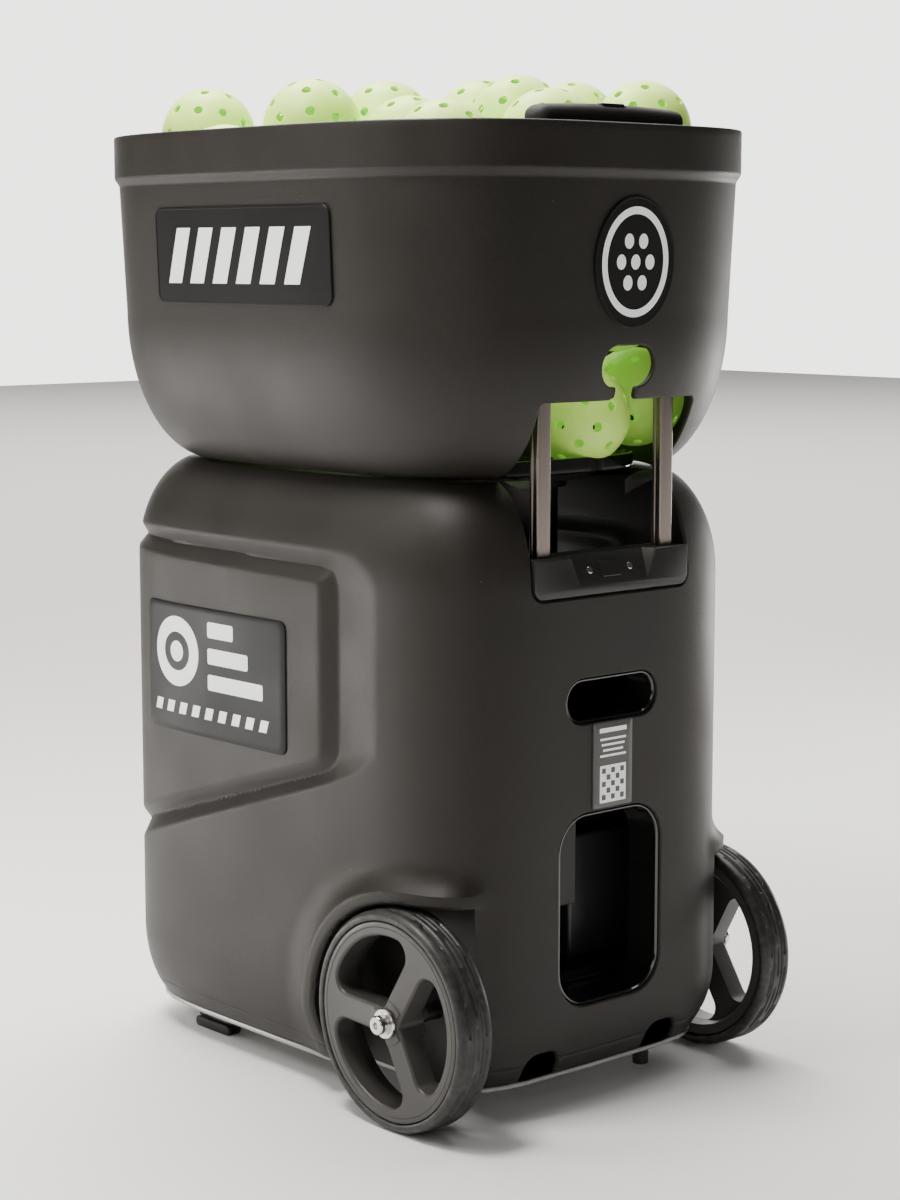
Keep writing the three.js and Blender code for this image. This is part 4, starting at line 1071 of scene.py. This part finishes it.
def bezel_fasteners():
    """Two screws and a square plug on the slope of the dip."""
    slope = math.atan2(DIP["depth"] + DIP["proud"], DIP["high"] - DIP["low"])
    middle_z = 388.5
    middle_y = BEZEL_FACE + DIP["proud"] - (middle_z - DIP["low"]) * math.tan(slope)
    screw_x = 20.0
    fasteners = {
        "screw_right": (arc_points((-screw_x, 0), 2.6, 0, 345, 23), BRIGHT, "bright_steel"),
        "screw_left": (arc_points((screw_x, 0), 2.6, 0, 345, 23), BRIGHT, "bright_steel"),
        "plug_middle": (rounded(9.0, -6.0, 6.0, 1.2), SATIN, "satin_plastic"),
    }
    for name, (shape, material, slot) in fasteners.items():
        layers = []
        for grow, out in ((0.0, -1.0), (0.0, 0.5), (-0.4, 0.8)):
            x, up = grown(shape, grow).T
            y = middle_y - up * math.sin(slope) + out * math.cos(slope)
            z = middle_z + up * math.cos(slope) + out * math.sin(slope)
            layers.append(np.stack((x, y, z), axis=1))
        attach(skin(f"bezel_{name}", layers, material), "chassis", slot)


# ------------------------------------------------------------------ sleeves and tray


def sleeve(name, outline, depth, node):
    """Gloss lining of an opening in the rear wall, with a rounded lip."""
    face = Flat(1, 208.0)
    lip = [(-0.3, -1.0), (-0.6, -0.2), (-1.3, 0.3), (-2.2, 0.1), (-2.8, -0.8)]
    steps = [(-0.3, -depth), *lip, (-2.9, -depth)]
    layers = [face.at(grown(outline, grow), out) for grow, out in steps]
    made = skin(name, layers, GLOSS, closed=True)
    attach(made, "chassis", "gloss_plastic", node)
    return made


def sleeves():
    """Linings of the two rear openings; the lower one leaves room for the control box."""
    low, high = cad_box("control_box")
    box_room = (low[0] - 1, high[0] + 10), (100.0, high[1] - MIDDLE_Y + 1), (low[2] - 1, high[2] + 40)
    lining = sleeve("access_lining", rounded(**ACCESS), 28.0, "access_liner")
    cut(lining, [box_tool(*box_room)])
    sleeve("slot_lining", rounded(**SLOT), 24.0, "slot_liner")


def tray():
    """Feed tray: an upturned rim round a flat floor with holes for the chute and the shaft."""
    low, high = cad_box("feed_tray")
    inset, wall = 66.0, 3.0
    bottom, floor, top = low[2], low[2] + 3.0, high[2]

    def solid(name, material, levels):
        rings = []
        for z, shrink in levels:
            rings += wall_rings(HOPPER, lambda height: inset + shrink, [z], even(4.0))
        return skin(name, rings, material)

    outside = [(bottom, 1.5), (bottom + 1.5, 0.0), (top - 1.2, 0.0), (top - 0.3, 0.3), (top, 1.2)]
    inside = [(floor, wall + 4), (floor + 1.2, wall + 1.2), (floor + 4, wall), (top + 2, wall - 1)]
    dish = solid("tray_dish", GLOSS, outside)
    room = solid("tray_room", SHELL, inside)
    chute_hole = round_hole(41.0, 2, (0, CHUTE_Y, 0), 440.0, 470.0)
    shaft_hole = round_hole(7.0, 2, (0, 0, 0), 440.0, 470.0)
    cut(dish, [room, chute_hole, shaft_hole])
    attach(dish, "chassis", "gloss_plastic", "feed_tray")


# ------------------------------------------------------------------ labels


def ellipse(half_across, half_up, middle_up, count=96):
    angles = np.linspace(0, 2 * math.pi, count, endpoint=False)
    return np.stack((half_across * np.cos(angles), middle_up + half_up * np.sin(angles)), axis=1)


def slanted_bar(start, low, width, height, slant):
    """Leaning bar with its lower left corner at (start, low)."""
    end, high = start + width, low + height
    return subdivided(np.array([(start, low), (end, low), (end + slant, high), (start + slant, high)], float))


RAISED_BORDER = [(0.0, -0.6), (0.0, 1.1), (-0.4, 1.55), (-1.5, 1.6), (-1.9, 1.2)]
FLAT_FILM = [(0.0, -0.4), (0.0, 0.8), (-0.4, 1.0)]


def print_on(name, wall, outline, out, body, ink=INK_PAINTED_GLOW):
    """Thin print that stands just proud of the film under it."""
    mark = press(name, wall, outline, [(0.0, out - 0.3), (0.0, out + 0.12)], ink, rings=4)
    attach(mark, body, "label_film")


def nameplates():
    """Raised plate with six slanted bars on each side of the hopper."""
    for name, side in SIDES.items():
        wall = Wall(HOPPER, hopper_inset, 0, side)
        plate = press(f"nameplate_{name}_film", wall, rounded(**NAMEPLATE), RAISED_BORDER, FILM)
        attach(plate, "hopper", "label_film", f"nameplate_{name}")
        for k in range(6):
            bar = slanted_bar(-88.0 + 28.0 * k, 588.0, 17.0, 40.0, 14.0)
            print_on(f"nameplate_{name}_bar_{k + 1}", wall, bar, 1.2, "hopper")


def badge():
    """Raised oval plate with a ring round seven dots."""
    plate = press("badge_film", REAR_HOPPER, ellipse(39.0, 45.5, BADGE_Z), RAISED_BORDER, FILM)
    attach(plate, "hopper", "label_film", "rear_badge")
    outer, inner = ellipse(32.5, 38.0, BADGE_Z), ellipse(27.5, 32.8, BADGE_Z)
    ring = band("badge_ring", REAR_HOPPER, outer, inner, 0.9, 1.32, INK_PAINTED_GLOW)
    attach(ring, "hopper", "label_film")
    dots = [(0.0, 0.0)] + [(14.0 * math.cos(a), 16.5 * math.sin(a)) for a in np.radians(range(0, 360, 60))]
    for k, (x, z) in enumerate(dots):
        dot = ellipse(4.4, 5.2, BADGE_Z + z, 28) + (x, 0)
        print_on(f"badge_dot_{k + 1}", REAR_HOPPER, dot, 1.2, "hopper")


def side_labels():
    """Flat label on each side panel: a ring with a dot, three bars and a row of dashes."""
    for name, side in SIDES.items():
        wall = Wall(BODY, body_inset, 0, side)
        plate = press(f"side_label_{name}_film", wall, rounded(**SIDE_LABEL), FLAT_FILM, FILM, rings=12)
        attach(plate, "chassis", "label_film", f"side_label_{name}")
        ring_middle = (-108.0, 0.0)
        outer = ellipse(29.0, 27.0, 308.0) + ring_middle
        inner = ellipse(17.0, 15.0, 308.0) + ring_middle
        ring = band(f"side_label_{name}_ring", wall, outer, inner, 0.7, 1.12, INK_PAINTED_GLOW)
        attach(ring, "chassis", "label_film")
        print_on(f"side_label_{name}_dot", wall, ellipse(8.5, 8.0, 308.0, 48) + ring_middle, 1.0, "chassis")
        for k in range(3):
            low, half = 283.0 + 20.0 * k, 34.0 - 9.0 * k
            bar = rounded(half, low, low + 12.0, 2.0, half - 67.0)
            print_on(f"side_label_{name}_bar_{k + 1}", wall, bar, 1.0, "chassis")
        for k in range(9):
            dash = slanted_bar(-140.0 + 17.0 * k, 260.0, 9.0, 9.0, 3.0)
            print_on(f"side_label_{name}_dash_{k + 1}", wall, dash, 1.0, "chassis")


def guide():
    """Narrow guide label with plain rules and a chequered block."""
    plate = press("guide_film", REAR_BODY, rounded(**GUIDE_LABEL), FLAT_FILM, GUIDE_FILM, rings=4)
    attach(plate, "chassis", "label_film", "guide_label")
    rules = [(273.0, 13.5, 1.6)] + [(266.5 - 4.0 * k, 13.0 - 1.5 * (k % 3), 0.8) for k in range(4)]
    for k, (z, half, height) in enumerate(rules):
        rule = rounded(half, z - height, z + height, 0.3)
        print_on(f"guide_rule_{k + 1}", REAR_BODY, rule, 1.0, "chassis")
    block = rounded(13.0, 220.5, 247.5, 0.6)
    print_on("guide_block", REAR_BODY, block, 1.0, "chassis")
    cells, half = 5, 1.9
    for row in range(cells):
        for column in range(row % 2, cells, 2):
            x = (column - (cells - 1) / 2) * 4.6
            z = 234.0 + (row - (cells - 1) / 2) * 4.8
            cell = rounded(half, z - half, z + half, 0.5, x, 3)
            print_on(f"guide_cell_{row + 1}_{column + 1}", REAR_BODY, cell, 1.14, "chassis", GUIDE_FILM)


# ------------------------------------------------------------------ balls

SHOWN_BALLS = [
    (59, -186, 702), (6, -130, 694), (-17, -58, 705), (19, 12, 689), (-31, 76, 703), (2, 144, 689),
    (74, 113, 680), (-28, 146, 493), (-112, 144, 503),
]
HEAP_TOP = 742.0
BALL_COUNT = 78
HEAP_SEED = 11


def ball_form(radius):
    """Plain round ball about the origin."""
    bm = bmesh.new()
    bmesh.ops.create_icosphere(bm, subdivisions=5, radius=radius * MM)
    data = bpy.data.meshes.new("ball_form")
    bm.to_mesh(data)
    bm.free()
    return show("ball_form", data, BALL_PAINTED_GLOW)


def ball_mesh():
    """Hollow ball with forty flared round holes spread evenly."""
    holes, wall = 40, 2.2
    ball = ball_form(BALL_RADIUS)
    tools = [ball_form(BALL_RADIUS - wall)]
    golden = math.pi * (3 - math.sqrt(5))
    for k in range(holes):
        height = 1 - (2 * k + 1) / holes
        spread = math.sqrt(1 - height**2)
        direction = Vector((spread * math.cos(golden * k), spread * math.sin(golden * k), height))
        profile = [(3.3, 30.0), (3.3, 36.2), (3.6, 36.8), (4.2, 37.4)]
        hole = turned("ball_hole", profile, 2, (0, -MIDDLE_Y, 0), BALL_PAINTED_GLOW, 20, False)
        hole.data.transform(direction.to_track_quat("Z", "Y").to_matrix().to_4x4())
        tools.append(hole)
    cut(ball, tools)
    mesh = ball.data
    bpy.data.objects.remove(ball)
    return mesh


def pushed_in(balls):
    """Keeps ball centres inside the hopper, over the tray and clear of the handle and carousel."""
    clearance = BALL_RADIUS + 0.6
    offsets = np.linspace(-BALL_RADIUS, BALL_RADIUS, 9)
    slices = np.sqrt(np.maximum(BALL_RADIUS**2 - offsets**2, 0))
    heights = np.minimum(balls[:, 2:3] + offsets, HOPPER_TOP)
    inside = balls[:, 2:3] + offsets < HOPPER_TOP
    need = np.where(inside, hopper_inset(heights) + HOPPER_WALL + slices + 1.0, 0.0).max(axis=1)
    a, b, power = HOPPER["a"] - need, HOPPER["b"] - need, HOPPER["power"]
    share = (np.abs(balls[:, 0] / a) ** power + np.abs(balls[:, 1] / b) ** power) ** (1 / power)
    balls[:, :2] /= np.maximum(share, 1.0)[:, None]
    handle_box = np.array([(-74.0, 183.5, 400.0), (74.0, 230.0, 760.0)])
    nearest = np.clip(balls, *handle_box)
    gap = balls - nearest
    distance = np.linalg.norm(gap, axis=1, keepdims=True)
    blocked = distance[:, 0] < clearance
    away = np.where(distance > 1e-6, gap / np.maximum(distance, 1e-6), (0, -1, 0))
    balls[blocked] = (nearest + away * clearance)[blocked]
    reach = np.linalg.norm(balls[:, :2], axis=1)
    floor = np.where(reach < 138, 507.5, 493.2)
    floor = np.maximum(floor, np.where(reach < 67, 457 + np.sqrt(np.maximum(68.5**2 - reach**2, 0)), 0))
    balls[:, 2] = np.clip(balls[:, 2], floor, HEAP_TOP - BALL_RADIUS)
    return balls


def gaps(balls):
    """Vectors and distances between all the balls; a ball is far from itself."""
    gap = balls[:, None] - balls[None]
    return gap, np.linalg.norm(gap, axis=2) + np.eye(len(balls)) * 1e3


def without_crowding(balls, kept):
    """Takes out the ball that overlaps most others until none overlap; the first few stay."""
    least = 2 * BALL_RADIUS + 0.02
    distance = gaps(balls)[1]
    while distance.min() < least:
        crowded = (distance < least).sum(axis=1)
        crowded[:kept] = 0
        if crowded.max() == 0:
            break
        left = np.arange(len(balls)) != crowded.argmax()
        balls = balls[left]
        distance = distance[left][:, left]
    return balls


def heap():
    """Balls settled in the hopper by pushing overlapping ones apart; the shown ones stay put."""
    rng = np.random.default_rng(HEAP_SEED)
    fixed = pushed_in(np.array(SHOWN_BALLS, float))
    shown = len(fixed)
    loose = rng.uniform((-120, -175, 500), (120, 170, 676), (BALL_COUNT - shown, 3))
    balls = np.vstack((fixed, loose))
    wanted = 2 * BALL_RADIUS + 0.35
    for step in range(900):
        balls[shown:, 2] -= 0.35 if step < 600 else 0.0
        gap, distance = gaps(balls)
        overlap = np.maximum(wanted - distance, 0)
        push = (gap / distance[:, :, None] * overlap[:, :, None] * 0.5).sum(axis=1)
        balls[shown:] += push[shown:]
        balls = np.vstack((fixed, pushed_in(balls[shown:])))
    return without_crowding(balls, shown)


def balls():
    mesh = ball_mesh()
    rng = np.random.default_rng(HEAP_SEED)
    for k, (x, y, z) in enumerate(heap()):
        made = bpy.data.objects.new(f"ball_{k + 1:02d}", mesh)
        made.location = (x * MM, (y + MIDDLE_Y) * MM, z * MM)
        made.rotation_euler = rng.uniform(0, 2 * math.pi, 3)
        bpy.context.scene.collection.objects.link(made)
        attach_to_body(made, "hopper")


# ------------------------------------------------------------------ carried-over pieces

SOFTENED = {
    "base_plate": 0.6, "rear_bumper": 1.2, "axle": 0.4, "feed_gearmotor": 0.8, "feed_chute": 0.6,
    "head_stand": 0.5, "swivel_gearmotor": 0.8, "control_box": 1.6, "battery": 3.0,
    "battery_tray": 0.8, "power_rocker": 0.7,
    "charge_cap": 0.7, "carousel": 1.0, "swivel_yoke": 0.5, "tilt_gearmotor": 0.6, "head_cradle": 0.6,
    "tilt_shaft": 0.4, "motor_plate": 0.6, "ball_guide": 0.6, "front_foot": 0.5, "foot_pad": 0.9,
    "handle_tube": 0.4, "launch_tread": 1.0, "launch_hub": 0.8, "launch_motor": 0.8,
}


def softened_pieces():
    """CAD pieces whose shape is right, with their hard edges rounded."""
    body_of = {node: body for body, nodes in frame["record"]["behaviour"]["bodies"].items() for node in nodes}
    slot_of = {entry["node"]: entry["material_slot"] for entry in frame["record"]["subparts"]}
    for stem, width in SOFTENED.items():
        names = [stem] if stem in NODES else [f"{stem}_{side}" for side in SIDES]
        for node in names:
            piece = bpy.data.objects.new(f"{node}_piece", NODES[node].data.copy())
            bpy.context.scene.collection.objects.link(piece)
            piece.data.materials.clear()
            piece.data.materials.append(SLOT_FINISH[slot_of[node]])
            edge_round(piece, width)
            attach(piece, body_of[node], slot_of[node], node)


body_moulding()
hopper_moulding()
for side_name, side_sign in SIDES.items():
    tyre(side_sign, side_name)
    hub(side_sign, side_name)
    axle_end(side_sign, side_name)
handle()
bezel()
bezel_fasteners()
sleeves()
tray()
nameplates()
badge()
side_labels()
guide()
balls()


# ------------------------------------------------------------------ studio


CAMERA_PLACE = (1.26435, 1.45841, 0.60662)
CAMERA_AIM = (-0.657612, -0.741266, -0.134428)
CAMERA_LENS = 75.74
WARM_WHITE = (1.0, 0.97, 0.93)
# each lamp: place, the point that it aims at, width and height (metres), power (watts)
LAMPS = {
    "key": ((0.95, -1.2, 0.13), (0.1, 0, 0.12), (0.5, 0.22), 7.0),
    "ledge": ((0.6, 0.0, 1.6), (0.16, 0.13, 0.2), (0.35, 0.35), 22.0),
    "floor_wash": ((1.5, -0.9, 1.4), (1.1, -0.8, 0), (0.7, 0.7), 16.0),
    "sky": ((-2.8, -3.1, 6.0), (-1.8, -2.0, 0), (8.0, 8.0), 850.0),
    "top": ((-0.1, -0.5, 1.7), (0, 0, 0.7), (0.6, 0.6), 20.0),
    "rim": ((-1.9, 0.1, 0.25), (0, 0, 0.1), (0.4, 0.4), 14.0),
    "front_fill": ((2.4, 1.6, 1.6), (0, 0, 0.35), (1.2, 1.2), 9.0),
}


def lit_backdrop():
    """Soft white surroundings, brighter on the side behind the machine."""
    world = bpy.data.worlds.new("studio")
    bpy.context.scene.world = world
    world.use_nodes = True
    nodes, links = world.node_tree.nodes, world.node_tree.links
    facing = nodes.new("ShaderNodeVectorMath")
    facing.operation = "DOT_PRODUCT"
    facing.inputs[1].default_value = (-0.66, -0.745, -0.08)
    links.new(nodes.new("ShaderNodeTexCoord").outputs["Generated"], facing.inputs[0])
    glow = nodes.new("ShaderNodeMapRange")
    glow.interpolation_type = "SMOOTHSTEP"
    for socket, number in zip(("From Min", "From Max", "To Min", "To Max"), (0.78, 0.97, 0.06, 3.2)):
        glow.inputs[socket].default_value = number
    links.new(facing.outputs["Value"], glow.inputs["Value"])
    background = nodes["Background"]
    background.inputs["Color"].default_value = (1.0, 0.985, 0.96, 1)
    links.new(glow.outputs["Result"], background.inputs["Strength"])


def studio():
    """Pale floor, soft surroundings, camera and lamps."""
    size = 9.0
    data = bpy.data.meshes.new("floor")
    corners = [(-size, -size, 0), (size, -size, 0), (size, size, 0), (-size, size, 0)]
    data.from_pydata(corners, [], [(0, 1, 2, 3)])
    data.materials.append(floor_paper())
    floor = bpy.data.objects.new("floor", data)
    bpy.context.scene.collection.objects.link(floor)

    lit_backdrop()

    camera_data = bpy.data.cameras.new("camera")
    camera_data.sensor_fit = "VERTICAL"
    camera_data.sensor_height = 36.0
    camera_data.lens = CAMERA_LENS
    camera = bpy.data.objects.new("camera", camera_data)
    camera.location = CAMERA_PLACE
    camera.rotation_euler = Vector(CAMERA_AIM).to_track_quat("-Z", "Y").to_euler()
    bpy.context.scene.collection.objects.link(camera)
    bpy.context.scene.camera = camera

    for name, (spot, aim, (wide, tall), power) in LAMPS.items():
        lamp = bpy.data.lights.new(name, "AREA")
        lamp.shape = "RECTANGLE"
        lamp.size = wide
        lamp.size_y = tall
        lamp.energy = power
        lamp.color = WARM_WHITE
        made = bpy.data.objects.new(name, lamp)
        made.location = spot
        made.rotation_euler = (Vector(aim) - Vector(spot)).to_track_quat("-Z", "Y").to_euler()
        bpy.context.scene.collection.objects.link(made)


def finish_frame_nodes():
    """Every CAD node that still shows takes its slot's finish."""
    for entry in frame["record"]["subparts"]:
        node = NODES[entry["node"]]
        for place in node.material_slots:
            place.material = SLOT_FINISH[entry["material_slot"]]
        smooth_edges(node.data)


finish_frame_nodes()
softened_pieces()
studio()
